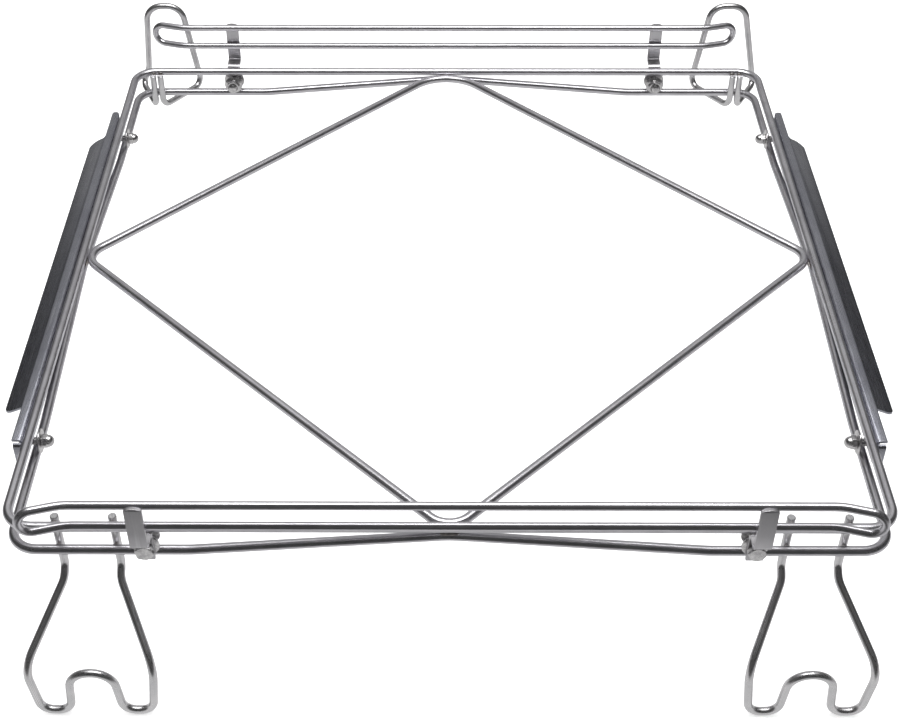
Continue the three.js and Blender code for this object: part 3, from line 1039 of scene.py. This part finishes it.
@dataclass
class FrontLegs:
    """Two legs of bent wire, each with a notch in its foot that sits over a peg."""

    rod: float = 0.005
    line: float = 0.2472
    centres: dict = field(default_factory=lambda: {Side.LEFT: 0.2079, Side.RIGHT: 0.2101})
    top_half: float = 0.0165
    ankle_half: float = 0.0373
    foot_half: float = 0.033
    mouth_half: float = 0.0155
    notch_half: float = 0.0125
    top: float = 0.0032
    knee: float = -0.037
    straight: float = 0.009
    ankle: float = -0.075
    forward: float = 0.295
    sole: float = -0.113
    notch_top: float = -0.0785

    def half_leg(self, out: int) -> list[Corner]:
        """Gives the corners of one half, from its top end to the notch.

        Args:
            out: -1 for the left half, 1 for the right.

        Returns:
            The corners.
        """
        knee = Vector((self.top_half, -self.line, self.knee))
        slope = (Vector((self.top_half, -self.forward, self.ankle)) - knee).normalized()
        spread = knee + slope * self.straight
        foot = (self.foot_half - self.mouth_half) / 2 - 0.0002
        return [
            corner(out * self.top_half, -self.line, self.top),
            corner(out * knee.x, knee.y, knee.z, 0.007),
            corner(out * spread.x, spread.y, spread.z, 0.018),
            corner(out * self.ankle_half, -self.forward, self.ankle, 0.020),
            corner(out * self.foot_half, -self.forward, self.sole, foot),
            corner(out * self.mouth_half, -self.forward, self.sole, foot),
            corner(out * self.notch_half, -self.forward, self.notch_top, 0.0133),
        ]

    def build(self, finishes: Finishes, welds: list[Vector]) -> None:
        """Bends one leg in the middle and puts a copy on each side.

        Args:
            finishes: the materials.
            welds: where wires are welded together.
        """
        corners = self.half_leg(-1) + self.half_leg(1)[::-1]
        model = WireBender(self.rod).bend("leg_model", corners)
        for side, centre in self.centres.items():
            leg = copy_at(model, f"bent_leg_{side.word}", Matrix.Translation((side.value * centre, 0, 0)))
            mark_heat(leg, welds)
            dress(leg, finishes.rod, Slot.ROD, "frame", f"front_leg_{side.word}")
        discard(model)

    def weld_places(self) -> list[Vector]:
        """Gives where the uprights touch the rings, from the middle of the upper ring."""
        return [Vector((side.value * centre + out * self.top_half, -0.2501, level))
                for side, centre in self.centres.items() for out in (-1, 1) for level in (0.0, -0.0189)]


@dataclass
class HookShape:
    """Outer side of one hook: how far out its loop, waist and neck stand."""

    loop: float
    waist: float
    neck: float


@dataclass
class RearHooks:
    """Two hooks of bent wire at the rear, each a tall loop behind two short bars."""

    rod: float = 0.005
    line: float = 0.2472
    bars: tuple = (0.2398, 0.2338)
    base: float = -0.0285
    back: float = 0.283
    outer: dict = field(default_factory=lambda: {
        Side.LEFT: HookShape(0.256, 0.2495, 0.2446), Side.RIGHT: HookShape(0.2595, 0.256, 0.2436)})
    inner_loop: float = 0.2065
    inner_neck: float = 0.217
    waist_level: float = -0.013
    crown: float = 0.0434
    weld_top: float = -0.0005

    def corners(self, side: Side) -> list[Corner]:
        """Gives the corners of one hook, from its outer bar round the loop to its inner bar.

        Args:
            side: which hook.

        Returns:
            The corners.
        """
        out, shape = side.value, self.outer[side]
        crown_radius = (shape.neck - self.inner_neck) / 2 - 0.0006
        return [
            corner(out * self.bars[0], self.line, self.weld_top),
            corner(out * self.bars[0], self.line, self.base, 0.007),
            corner(out * shape.loop, self.back, self.base, 0.006),
            corner(out * shape.waist, self.back, self.waist_level, 0.014),
            corner(out * shape.neck, self.back, self.crown, crown_radius),
            corner(out * self.inner_neck, self.back, self.crown, crown_radius),
            corner(out * self.inner_loop, self.back, self.base, 0.008),
            corner(out * self.bars[1], self.line, self.base, 0.007),
            corner(out * self.bars[1], self.line, self.weld_top),
        ]

    def build(self, finishes: Finishes, welds: list[Vector]) -> None:
        """Bends both hooks, which differ a little.

        Args:
            finishes: the materials.
            welds: where wires are welded together.
        """
        for side in Side:
            hook = WireBender(self.rod).bend(f"bent_hook_{side.word}", self.corners(side))
            mark_heat(hook, welds)
            dress(hook, finishes.rod, Slot.ROD, "frame", f"rear_hook_{side.word}")

    def weld_places(self) -> list[Vector]:
        """Gives where the bars touch the rings, from the middle of the upper ring."""
        places = [Vector((side.value * x, 0.2501, -0.0189)) for side in Side for x in self.bars]
        return places + [Vector((side.value * x, 0.2501, -0.0006)) for side in Side for x in self.bars]


# ---------------------------------------------------------------- guide rails


@dataclass
class GuideRails:
    """The two raised rails that guide a basket, each a flat loop of wire with flared ends."""

    rod: float = 0.005
    distance: float = 0.267
    low: float = 0.016
    high: float = 0.0322
    flare_start: float = 0.213
    tip: float = 0.2363
    flare: float = 0.0065

    def build(self, finishes: Finishes, welds: list[Vector]) -> None:
        """Bends the rear rail and mirrors it for the front.

        Args:
            finishes: the materials.
            welds: where the straps are welded on.
        """
        tip_radius = (self.high - self.low) / 2 - 0.00001
        corners = []
        for i, (sx, level) in enumerate(((-1, self.high), (1, self.high), (1, self.low), (-1, self.low))):
            bend = corner(sx * self.flare_start, self.distance, level, 0.030)
            tip = corner(sx * self.tip, self.distance + self.flare, level, tip_radius)
            corners.extend([tip, bend] if i % 2 == 0 else [bend, tip])
        model = WireBender(self.rod).bend("rail_model", corners, closed=True)
        for end in End:
            node = f"{end.word}_guide_rail"
            place = Matrix.Translation((across_of(node), 0, 0)) @ mirrored(y=end.value)
            rail = copy_at(model, f"{end.word}_rail_wire", place)
            mark_heat(rail, welds)
            dress(rail, finishes.wire, Slot.ROD, f"{end.word}_guide", node)
        discard(model)

    def weld_places(self, end: End) -> list[Vector]:
        """Gives where the straps touch one rail, from the middle of the upper ring."""
        return [Vector((across_of(f"{end.word}_strap_{side.word}"), end.value * 0.2696, level))
                for side in Side for level in (self.low, self.high)]


@dataclass
class Straps:
    """Four joggled flat bars that carry the guide rails."""

    width: float = 0.010
    thick: float = 0.002
    tab: float = 0.2582
    face: float = 0.2698
    shelf: float = 0.0005
    top: float = 0.0338
    bottom: float = -0.0194
    bend: float = 0.003
    crown: float = 0.009
    hole: float = 0.0033
    hole_level: float = -0.0102

    def dome_end(self) -> float:
        """Height of the domed part of the top end."""
        return self.crown - math.sqrt(self.crown ** 2 - (self.width / 2) ** 2)

    def model(self) -> bpy.types.Object:
        """Bends, rounds and drills a rear strap in the middle of the frame.

        Returns:
            The strap.
        """
        half = self.thick / 2
        straight_top = self.top - self.dome_end()
        corners = [
            corner(0.0, self.tab + half, self.bottom),
            corner(0.0, self.tab + half, self.shelf + half, self.bend),
            corner(0.0, self.face + half, self.shelf + half, self.bend),
            corner(0.0, self.face + half, straight_top),
        ]
        piece = FlatBender(self.thick, width=self.width, step=math.radians(10)).bend("strap_model", corners)
        self.round_top(piece, MIDDLE + Vector((0.0, self.face + half, straight_top)))
        place = MIDDLE + Vector((0.0, self.tab, self.hole_level))
        drill(piece, place, self.hole, 0.02, (math.pi / 2, 0, 0))
        break_edges(piece, 0.0003, 3, 50)
        return settle(piece, "strap_model", 35)

    def round_top(self, piece: bpy.types.Object, place: Vector) -> None:
        """Pushes the top end up in steps that narrow to a dome.

        Args:
            piece: the bent strap.
            place: middle of its straight top end.
        """
        edit(piece)
        pick(piece, "FACE", lambda face: face.normal.z > 0.9 and (face.center - place).length < 0.002)
        steps = 7
        spread = math.asin(self.width / 2 / self.crown)
        last_half = self.width / 2
        last_height = 0.0
        foot = self.crown * math.cos(spread)
        for k in range(1, steps + 1):
            angle = spread * (1 - k / (steps + 0.6))
            height = self.crown * math.cos(angle) - foot
            half = self.crown * math.sin(angle)
            extrude(Vector((0, 0, height - last_height)))
            resize((half / last_half, 1.0, 1.0), place)
            last_half, last_height = half, height
        leave_edit()

    def build(self, finishes: Finishes) -> None:
        """Bends one strap and copies it to its four places.

        Args:
            finishes: the materials.
        """
        model = self.model()
        for end in End:
            for side in Side:
                node = f"{end.word}_strap_{side.word}"
                place = Matrix.Translation((across_of(node), 0, 0)) @ mirrored(y=end.value)
                piece = copy_at(model, f"{node}_bar", place)
                dress(piece, finishes.strap, Slot.STRAP, f"{end.word}_guide", node)
        discard(model)


# ---------------------------------------------------------------- fasteners


@dataclass
class HexScrew:
    """Hexagon screw with its head's bearing face at the origin and its thread along -Z."""

    thread: float
    corners: float
    head: float
    length: float
    pitch: float

    def model(self, name: str) -> bpy.types.Object:
        """Turns the threaded shank and joins it to the head.

        Args:
            name: name of the model.

        Returns:
            The screw.
        """
        crest = self.thread / 2
        root = crest - self.pitch * 0.42
        rings = [(crest * 0.62, -self.length), (root, -self.length + self.pitch * 0.35)]
        level = -self.length + self.pitch * 0.6
        while level < -self.pitch:
            rings += [(crest, level), (crest, level + self.pitch * 0.14), (root, level + self.pitch * 0.5),
                      (root, level + self.pitch * 0.64)]
            level += self.pitch
        rings += [(crest * 0.96, level), (crest * 0.96, 0.0002)]
        shank = turn_up("shank", rings, 28)
        head = hexagon("head", self.corners, 0.0, self.head)
        return settle(combine(head, shank, "UNION"), name, 30)


@dataclass
class FlangeNut:
    """Flanged hexagon nut with its bearing face at the origin, standing along +Z."""

    thread: float = 0.006
    corners: float = 0.0112
    height: float = 0.0054
    base: float = 0.0142

    def model(self) -> bpy.types.Object:
        """Joins the hexagon to the flange and bores it.

        Returns:
            The nut.
        """
        nut = hexagon("nut_body", self.corners, 0.0002, self.height)
        edge = self.base / 2
        skirt = turn_up("skirt", [(edge - 0.0003, 0.0), (edge, 0.0003), (edge, 0.0006),
                                  (edge - 0.0004, 0.0009), (self.corners / 2 - 0.0006, 0.0018)])
        combine(nut, skirt, "UNION")
        bore = self.thread / 2 + 0.00025
        cutter = turn_up("bore", [(bore, -0.001), (bore, self.height - 0.0006),
                                  (bore + 0.0007, self.height + 0.0001)])
        combine(nut, cutter, "DIFFERENCE")
        return settle(nut, "flange_nut_model", 30)


@dataclass
class CapNut:
    """Domed cap nut with its bearing face at the origin, standing along +Z."""

    thread: float = 0.005
    corners: float = 0.0088
    body: float = 0.0036
    height: float = 0.0074
    dome: float = 0.0038
    depth: float = 0.005

    def model(self) -> bpy.types.Object:
        """Joins the hexagon to its dome and bores it from below.

        Returns:
            The nut.
        """
        nut = hexagon("cap_body", self.corners, 0.0, self.body, chamfer_low=True)
        centre = self.height - self.dome
        rings = [(self.dome * 0.9, self.body - 0.001), (self.dome, centre - 0.0001)]
        for k in range(1, 12):
            angle = math.pi / 2 * k / 12
            rings.append((self.dome * math.cos(angle), centre + self.dome * math.sin(angle)))
        rings.append((self.dome * 0.03, self.height))
        combine(nut, turn_up("dome", rings), "UNION")
        bore = self.thread / 2 + 0.00025
        combine(nut, turn_up("bore", [(bore, -0.001), (bore, self.depth)]), "DIFFERENCE")
        return settle(nut, "cap_nut_model", 30)


def washer_model(outer: float, hole: float, thick: float) -> bpy.types.Object:
    """Turns a flat washer with broken edges.

    Args:
        outer: outer diameter.
        hole: diameter of its hole.
        thick: thickness.

    Returns:
        The washer, from the origin along +Z.
    """
    edge, bore, cut = outer / 2, hole / 2, thick * 0.2
    rings = [(edge - cut, 0.0), (edge, cut), (edge, thick - cut * 1.4), (edge - cut * 1.4, thick),
             (bore + cut, thick), (bore, thick - cut), (bore, cut), (bore + cut, 0.0)]
    return turn_up("washer_model", rings, 56, closed=True)


def clamp(node: str, body: str, finish: bpy.types.Material, outward: Vector,
          beside: Callable[[str], Vector], seats: tuple, turns: Iterator[int]) -> None:
    """Puts copies of a screw, a washer and a nut into one hole.

    Args:
        node: start of their nodes' names.
        body: body that they move with.
        finish: their material.
        outward: direction from the nut to the screw's head.
        beside: gives the place along the ring of a named node.
        seats: model, last word of its node, and distance of its face from the middle.
        turns: turn of each hexagon in degrees, taken in order.
    """
    for model, word, face in seats:
        seat = f"{node}_{word}"
        place = MIDDLE + outward * face + beside(seat) + Vector((0, 0, height_of(seat)))
        direction = -outward if word.endswith("nut") else outward
        turn = 0.0 if word == "washer" else next(turns)
        piece = copy_at(model, f"{seat}_part", stand(place, direction, turn))
        dress(piece, finish, Slot.FASTENER, body, seat)


@dataclass
class StrapFasteners:
    """The screw, washer and flange nut that clamp each strap to the two rings."""

    head_face: float = 0.2605
    washer_face: float = 0.2563
    nut_face: float = 0.2497
    length: float = 0.0188
    turns: tuple = (11, 37, 24, 52, 5, 44, 31, 18)

    def build(self, finishes: Finishes) -> None:
        """Makes one of each and puts copies at the four straps.

        Args:
            finishes: the materials.
        """
        screw = HexScrew(0.006, 0.0112, 0.004, self.length, 0.001).model("strap_screw_model")
        washer = washer_model(0.016, 0.0066, 0.0016)
        nut = FlangeNut().model()
        seats = ((screw, "screw", self.head_face), (washer, "washer", self.washer_face),
                 (nut, "flange_nut", self.nut_face))
        turns = iter(self.turns)
        for end in End:
            for side in Side:
                clamp(f"{end.word}_strap_{side.word}", f"{end.word}_guide", finishes.fastener,
                      Vector((0, end.value, 0)), lambda seat: Vector((across_of(seat), 0, 0)), seats, turns)
        discard(screw, washer, nut)


@dataclass
class SlideFasteners:
    """The screws, washers and cap nuts that clamp the entry slides to the two rings."""

    places: dict = field(default_factory=lambda: {End.FRONT: -0.1725, End.REAR: 0.168})
    head_face: float = 0.2581
    washer_face: float = 0.2485
    nut_face: float = 0.2482
    length: float = 0.0144
    turns: tuple = (8, 29, 47, 15, 54, 36, 21, 3)

    def build(self, finishes: Finishes) -> None:
        """Makes one of each and puts copies at the four screw places.

        Args:
            finishes: the materials.
        """
        screw = HexScrew(0.005, 0.0088, 0.0035, self.length, 0.0008).model("slide_screw_model")
        washer = washer_model(0.015, 0.0056, 0.0012)
        nut = CapNut().model()
        seats = ((screw, "screw", self.head_face), (washer, "washer", self.washer_face),
                 (nut, "cap_nut", self.nut_face))
        turns = iter(self.turns)
        for side in Side:
            for end, along in self.places.items():
                beside = Vector((0, along, 0))
                clamp(f"slide_{side.word}_{end.word}", f"{side.word}_slide", finishes.fastener,
                      Vector((side.value, 0, 0)), lambda seat: beside, seats, turns)
        discard(screw, washer, nut)


# ---------------------------------------------------------------- entry slides


@dataclass
class EntrySlides:
    """The two folded sheet slides: web, flat band, falling flange, folded flap and rear finger."""

    sheet: float = 0.0015
    web: float = 0.2563
    top: float = 0.0015
    band_edge: float = 0.2626
    outer: float = 0.274
    fall: float = 0.0048
    web_bottom: float = -0.0165
    flange_front: float = -0.155
    band_front: float = -0.1885
    nose: float = 0.261
    flap_bottom: float = -0.015
    shoulder: float = 0.151
    finger_tip: float = 0.188
    web_rear: float = 0.180
    hole: float = 0.0028
    holes: tuple = (-0.1725, 0.168)
    hole_level: float = -0.0102

    def folded(self) -> bpy.types.Object:
        """Folds the web, the band and the flange in one sheet.

        Returns:
            The folded sheet, longer than the slide.
        """
        half = self.sheet / 2
        lead = Vector((self.outer - self.band_edge, 0, -self.fall)).normalized()
        normal = Vector((-lead.z, 0, lead.x))
        bend = Vector((self.band_edge, 0, self.top)) - (normal + Vector((0, 0, 1))).normalized() * half
        edge = Vector((self.outer, 0, self.top - self.fall)) - normal * half - lead * 0.0001
        corners = [
            corner(self.web + half, 0.0, self.top - half, 0.0013),
            corner(bend.x, 0.0, bend.z, 0.003),
            corner(edge.x, 0.0, edge.z),
        ]
        start = MIDDLE + Vector((self.web + half, 0.0, self.web_bottom))
        return fold_sheet("slide_model", start, 0.40, corners, self.sheet)

    def plan(self) -> bpy.types.Object:
        """Draws the plan of the slide as a thick plate with rounded corners.

        Returns:
            The plate, which trims the folded sheet.
        """
        inner, outer, rear = self.web - 0.0003, self.outer + 0.0002, self.shoulder
        finger_edge = self.web + self.sheet + 0.00005
        below = -0.03
        deselect_all()
        bpy.ops.mesh.primitive_plane_add(size=1.0)
        plate = bpy.context.active_object
        plate.scale = (outer - inner, rear - self.flange_front, 1.0)
        plate.location = MIDDLE + Vector(((outer + inner) / 2, (rear + self.flange_front) / 2, below))
        bpy.ops.object.transform_apply(location=True, rotation=True, scale=True)
        edit(plate)
        middle_x = MIDDLE.x
        bpy.ops.mesh.bisect(plane_co=tuple(MIDDLE + Vector((self.band_edge, 0, 0))), plane_no=(1, 0, 0))
        for level, stop in ((self.flange_front, self.band_front + 0.0045), (rear, self.web_rear)):
            at = MIDDLE.y + level
            pick(plate, "EDGE", lambda co: abs(co.y - at) < 1e-5 and co.x < middle_x + self.band_edge - 1e-4)
            extrude(Vector((0, stop - level, 0)))
        extrude(Vector((0, self.finger_tip - self.web_rear, 0)))
        bpy.ops.mesh.select_mode(type="VERT")
        self.move_corner(plate, inner, self.finger_tip, Vector((finger_edge - inner, 0, 0)))
        bpy.ops.mesh.select_all(action="SELECT")
        bpy.ops.mesh.dissolve_limited(angle_limit=0.01)
        rounds = ((outer, self.flange_front, 0.005), (outer, rear, 0.0095),
                  (self.band_edge, rear, 0.004), (self.band_edge, self.finger_tip, 0.0022),
                  (finger_edge, self.finger_tip, 0.0022))
        for x, y, radius in rounds:
            place = MIDDLE + Vector((x, y, below))
            pick(plate, "VERT", lambda co: (co - place).length < 1e-4)
            bpy.ops.mesh.bevel(offset=radius, segments=8, affect="VERTICES")
        bpy.ops.mesh.select_mode(type="FACE")
        bpy.ops.mesh.select_all(action="SELECT")
        extrude(Vector((0, 0, -2 * below)))
        bpy.ops.mesh.select_all(action="SELECT")
        bpy.ops.mesh.normals_make_consistent(inside=False)
        leave_edit()
        return plate

    def move_corner(self, plate: bpy.types.Object, x: float, y: float, move: Vector) -> None:
        """Moves one corner of the plan.

        Args:
            plate: the plan.
            x: place of the corner.
            y: place of the corner.
            move: how far it moves.
        """
        pick(plate, "VERT", lambda co: abs(co.x - MIDDLE.x - x) < 1e-5 and abs(co.y - MIDDLE.y - y) < 1e-5)
        bpy.ops.transform.translate(value=tuple(move))

    def flap(self) -> bpy.types.Object:
        """Bends the strip that closes the front end of the band.

        Returns:
            The strip.
        """
        half = self.sheet / 2
        middle = (self.web + self.nose) / 2
        corners = [
            corner(middle, self.band_front + 0.006, self.top - half),
            corner(middle, self.band_front + half, self.top - half, 0.0014),
            corner(middle, self.band_front + half, self.flap_bottom),
        ]
        bender = FlatBender(self.sheet, width=self.nose - self.web - 0.00002, step=math.radians(10))
        return bender.bend("flap", corners)

    def model(self) -> bpy.types.Object:
        """Folds, trims and drills the right slide.

        Returns:
            The slide.
        """
        piece = combine(self.folded(), self.plan(), "INTERSECT")
        combine(piece, self.flap(), "UNION")
        for along in self.holes:
            place = MIDDLE + Vector((self.web, along, self.hole_level))
            drill(piece, place, self.hole, 0.01, (0, math.pi / 2, 0))
        break_edges(piece, 0.00022, 2, 55)
        return settle(piece, "slide_model", 30)

    def build(self, finishes: Finishes) -> None:
        """Folds one slide and mirrors it for the other side.

        Args:
            finishes: the materials.
        """
        model = self.model()
        for side in Side:
            piece = copy_at(model, f"folded_slide_{side.word}", mirrored(x=side.value))
            dress(piece, finishes.slide, Slot.SLIDE, f"{side.word}_slide", f"entry_slide_{side.word}")
        discard(model)


# ---------------------------------------------------------------- welds


@dataclass
class WeldBeads:
    """The small lumps of metal where wires and straps are welded together."""

    def lump(self) -> bpy.types.Object:
        """Shapes one uneven lump of unit size.

        Returns:
            The lump.
        """
        deselect_all()
        bpy.ops.mesh.primitive_ico_sphere_add(subdivisions=3, radius=1.0)
        lump = bpy.context.active_object
        edit(lump)
        bpy.ops.transform.vertex_random(offset=0.16, uniform=0.2, normal=0.8, seed=4)
        bpy.ops.mesh.vertices_smooth(factor=0.6, repeat=2)
        leave_edit()
        return settle(lump, "bead_model", 60)

    def build(self, finishes: Finishes, body: str, beads: list[tuple]) -> None:
        """Copies the lump to every weld of one body and joins the copies.

        Args:
            finishes: the materials.
            body: body that the beads ride on.
            beads: (place from the middle, half sizes) of each bead.
        """
        model = self.lump()
        copies = []
        for i, (place, size) in enumerate(beads):
            turned = Matrix.Rotation(0.7 * i, 4, "X") if i % 2 else Matrix.Identity(4)
            scaled = Matrix.Translation(MIDDLE + place) @ Matrix.Diagonal((*size, 1.0)) @ turned
            copies.append(copy_at(model, f"{body}_bead_{i}", scaled))
        select_only(copies[0])
        for one in copies:
            one.select_set(True)
        bpy.ops.object.join()
        discard(model)
        dress(settle(copies[0], f"{body}_weld_beads", 60), finishes.weld, Slot.RING, body)


def frame_beads(legs: FrontLegs, hooks: RearHooks) -> list[tuple]:
    """Lists the beads of the welded frame.

    Args:
        legs: the front legs.
        hooks: the rear hooks.

    Returns:
        (place, half sizes) of each bead.
    """
    beads = [(place, (0.0023, 0.0010, 0.0017)) for place in legs.weld_places() + hooks.weld_places()]
    for quarter in range(4):
        turned = Matrix.Rotation(quarter * math.pi / 2, 3, "Z")
        flat = (0.006, 0.0014, 0.0009) if quarter % 2 == 0 else (0.0014, 0.006, 0.0009)
        beads.append((turned @ Vector((0, 0.2548, -0.00315)), flat))
        beads.append((turned @ Vector((0, 0.2500, -0.00315)), flat))
    return beads


# ---------------------------------------------------------------- studio


@dataclass
class Studio:
    """Camera, floor, soft light and the surroundings that the bright steel reflects."""

    lens: float = 60.252
    shift: tuple = (0.02278, -0.00056)
    eye: tuple = (-0.0074, -0.8291, 0.7435)
    turns: tuple = (0.362, 49.23, -0.145)

    def camera(self) -> None:
        """Stands the camera in front of the frame, looking down on it."""
        data = bpy.data.cameras.new("camera")
        data.lens = self.lens
        data.sensor_width = 36.0
        data.shift_x, data.shift_y = self.shift
        camera = bpy.data.objects.new("camera", data)
        bpy.context.scene.collection.objects.link(camera)
        turn, tilt, roll = (math.radians(angle) for angle in self.turns)
        camera.matrix_world = (Matrix.Translation(self.eye) @ Matrix.Rotation(turn, 4, "Z")
                               @ Matrix.Rotation(tilt, 4, "X") @ Matrix.Rotation(roll, 4, "Z"))
        bpy.context.scene.camera = camera

    def floor(self) -> None:
        """Lays the pale floor."""
        deselect_all()
        bpy.ops.mesh.primitive_plane_add(size=14.0, location=(0, 0, -0.0002))
        floor = bpy.context.active_object
        floor.name = "floor"
        floor.visible_glossy = False
        material, shader = new_material("pale_floor")
        shader.inputs["Metallic"].default_value = 0.0
        shader.inputs["Base Color"].default_value = (0.94, 0.94, 0.94, 1.0)
        shader.inputs["Roughness"].default_value = 0.9
        shader.inputs["Emission Color"].default_value = (1.0, 1.0, 1.0, 1.0)
        shader.inputs["Emission Strength"].default_value = 0.3
        floor.data.materials.append(material)

    def reflected_table(self, name: str, low: tuple, high: tuple, level: float, light: float) -> None:
        """Lays a bright table top that only the steel's reflections see.

        Args:
            name: name of the table.
            low: its front left corner.
            high: its rear right corner.
            level: its height.
            light: how bright it is.
        """
        deselect_all()
        middle = ((low[0] + high[0]) / 2, (low[1] + high[1]) / 2, level)
        bpy.ops.mesh.primitive_plane_add(size=1.0, location=middle)
        table = bpy.context.active_object
        table.scale = (high[0] - low[0], high[1] - low[1], 1.0)
        table.name = name
        table.visible_camera = False
        table.visible_diffuse = False
        table.visible_shadow = False
        material, shader = new_material(f"{name}_light")
        shader.inputs["Metallic"].default_value = 0.0
        shader.inputs["Base Color"].default_value = (0.0, 0.0, 0.0, 1.0)
        shader.inputs["Emission Color"].default_value = (1.0, 1.0, 1.0, 1.0)
        shader.inputs["Emission Strength"].default_value = light
        table.data.materials.append(material)

    def lamp(self, name: str, place: tuple, aim: tuple, size: tuple, power: float) -> None:
        """Hangs a soft rectangular lamp.

        Args:
            name: name of the lamp.
            place: where it hangs.
            aim: where it points.
            size: width and height.
            power: watts.
        """
        data = bpy.data.lights.new(name, "AREA")
        data.shape = "RECTANGLE"
        data.size, data.size_y = size
        data.energy = power
        lamp = bpy.data.objects.new(name, data)
        bpy.context.scene.collection.objects.link(lamp)
        facing = (Vector(aim) - Vector(place)).to_track_quat("-Z", "Y").to_matrix().to_4x4()
        lamp.matrix_world = Matrix.Translation(place) @ facing

    def surroundings(self) -> None:
        """Sets the white backdrop and the darker room that the steel reflects."""
        world = bpy.data.worlds.new("studio")
        bpy.context.scene.world = world
        world.use_nodes = True
        tree = world.node_tree
        tree.nodes.clear()
        where = tree.nodes.new("ShaderNodeTexCoord").outputs["Generated"]
        split = tree.nodes.new("ShaderNodeSeparateXYZ")
        tree.links.new(where, split.inputs["Vector"])
        x, y, z = split.outputs
        sideways = tree.nodes.new("ShaderNodeMath")
        sideways.operation = "ABSOLUTE"
        tree.links.new(x, sideways.inputs[0])
        rear = self.product(tree, add_range(tree, y, 0.0, 1.0, -0.25, 0.45),
                            add_range(tree, sideways.outputs["Value"], 1.0, 0.0, 0.35, 0.70))
        low_sides = self.product(tree, add_range(tree, sideways.outputs["Value"], 0.0, 1.0, 0.25, 0.7),
                                 add_range(tree, z, 1.0, 0.0, -0.45, -0.05))
        room = self.layers(tree, 0.04, ((rear, 0.31), (low_sides, 0.45)))
        path = tree.nodes.new("ShaderNodeLightPath")
        tone = tree.nodes.new("ShaderNodeMix")
        tone.data_type = "FLOAT"
        tone.inputs[2].default_value = 1.02
        tree.links.new(path.outputs["Is Glossy Ray"], tone.inputs["Factor"])
        tree.links.new(room, tone.inputs[3])
        background = tree.nodes.new("ShaderNodeBackground")
        tree.links.new(tone.outputs[0], background.inputs["Strength"])
        output = tree.nodes.new("ShaderNodeOutputWorld")
        tree.links.new(background.outputs["Background"], output.inputs["Surface"])
        background.inputs["Color"].default_value = (1.0, 1.0, 1.0, 1.0)

    def product(self, tree: bpy.types.NodeTree, first: bpy.types.NodeSocket,
                second: bpy.types.NodeSocket) -> bpy.types.NodeSocket:
        """Multiplies two sockets.

        Args:
            tree: node tree of the world.
            first: first factor.
            second: second factor.

        Returns:
            The product.
        """
        node = tree.nodes.new("ShaderNodeMath")
        node.operation = "MULTIPLY"
        tree.links.new(first, node.inputs[0])
        tree.links.new(second, node.inputs[1])
        return node.outputs["Value"]

    def layers(self, tree: bpy.types.NodeTree, base: float, parts: tuple) -> bpy.types.NodeSocket:
        """Adds weighted patches of light to a base level.

        Args:
            tree: node tree of the world.
            base: level everywhere.
            parts: (mask, strength) of each patch.

        Returns:
            The total.
        """
        total = None
        for mask, strength in parts:
            node = tree.nodes.new("ShaderNodeMath")
            node.operation = "MULTIPLY_ADD"
            node.inputs[1].default_value = strength
            node.inputs[2].default_value = base
            tree.links.new(mask, node.inputs[0])
            if total is not None:
                tree.links.new(total, node.inputs[2])
            total = node.outputs["Value"]
        return total

    def build(self) -> None:
        """Sets up the whole studio."""
        bpy.context.scene.view_settings.view_transform = "Standard"
        self.camera()
        self.floor()
        self.surroundings()
        self.reflected_table("table", (-0.75, -0.39), (0.75, 0.50), -0.002, 0.64)
        self.lamp("overhead", (0.0, -0.02, 1.4), (0.0, 0.0, 0.1), (1.1, 0.6), 13.0)


# ---------------------------------------------------------------- whole frame


def main() -> None:
    """Builds every part of the basket frame in order."""
    logging.basicConfig(level=logging.INFO, format="%(message)s")
    Studio().build()
    finishes = Finishes()
    rings, legs, hooks, rails = BasketRings(), FrontLegs(), RearHooks(), GuideRails()
    crank_tops = [Matrix.Rotation(k * math.pi / 2, 3, "Z") @ Vector((0, 0.2501, -0.003)) for k in range(4)]
    frame_welds = [MIDDLE + place for place in legs.weld_places() + hooks.weld_places() + crank_tops]
    rings.build(finishes, frame_welds)
    legs.build(finishes, frame_welds)
    hooks.build(finishes, frame_welds)
    rails.build(finishes, [MIDDLE + place for end in End for place in rails.weld_places(end)])
    Straps().build(finishes)
    StrapFasteners().build(finishes)
    EntrySlides().build(finishes)
    SlideFasteners().build(finishes)
    beads = WeldBeads()
    beads.build(finishes, "frame", frame_beads(legs, hooks))
    for end in End:
        spots = [(place, (0.0022, 0.0006, 0.0012)) for place in rails.weld_places(end)]
        beads.build(finishes, f"{end.word}_guide", spots)


if __name__ == "__main__":
    main()
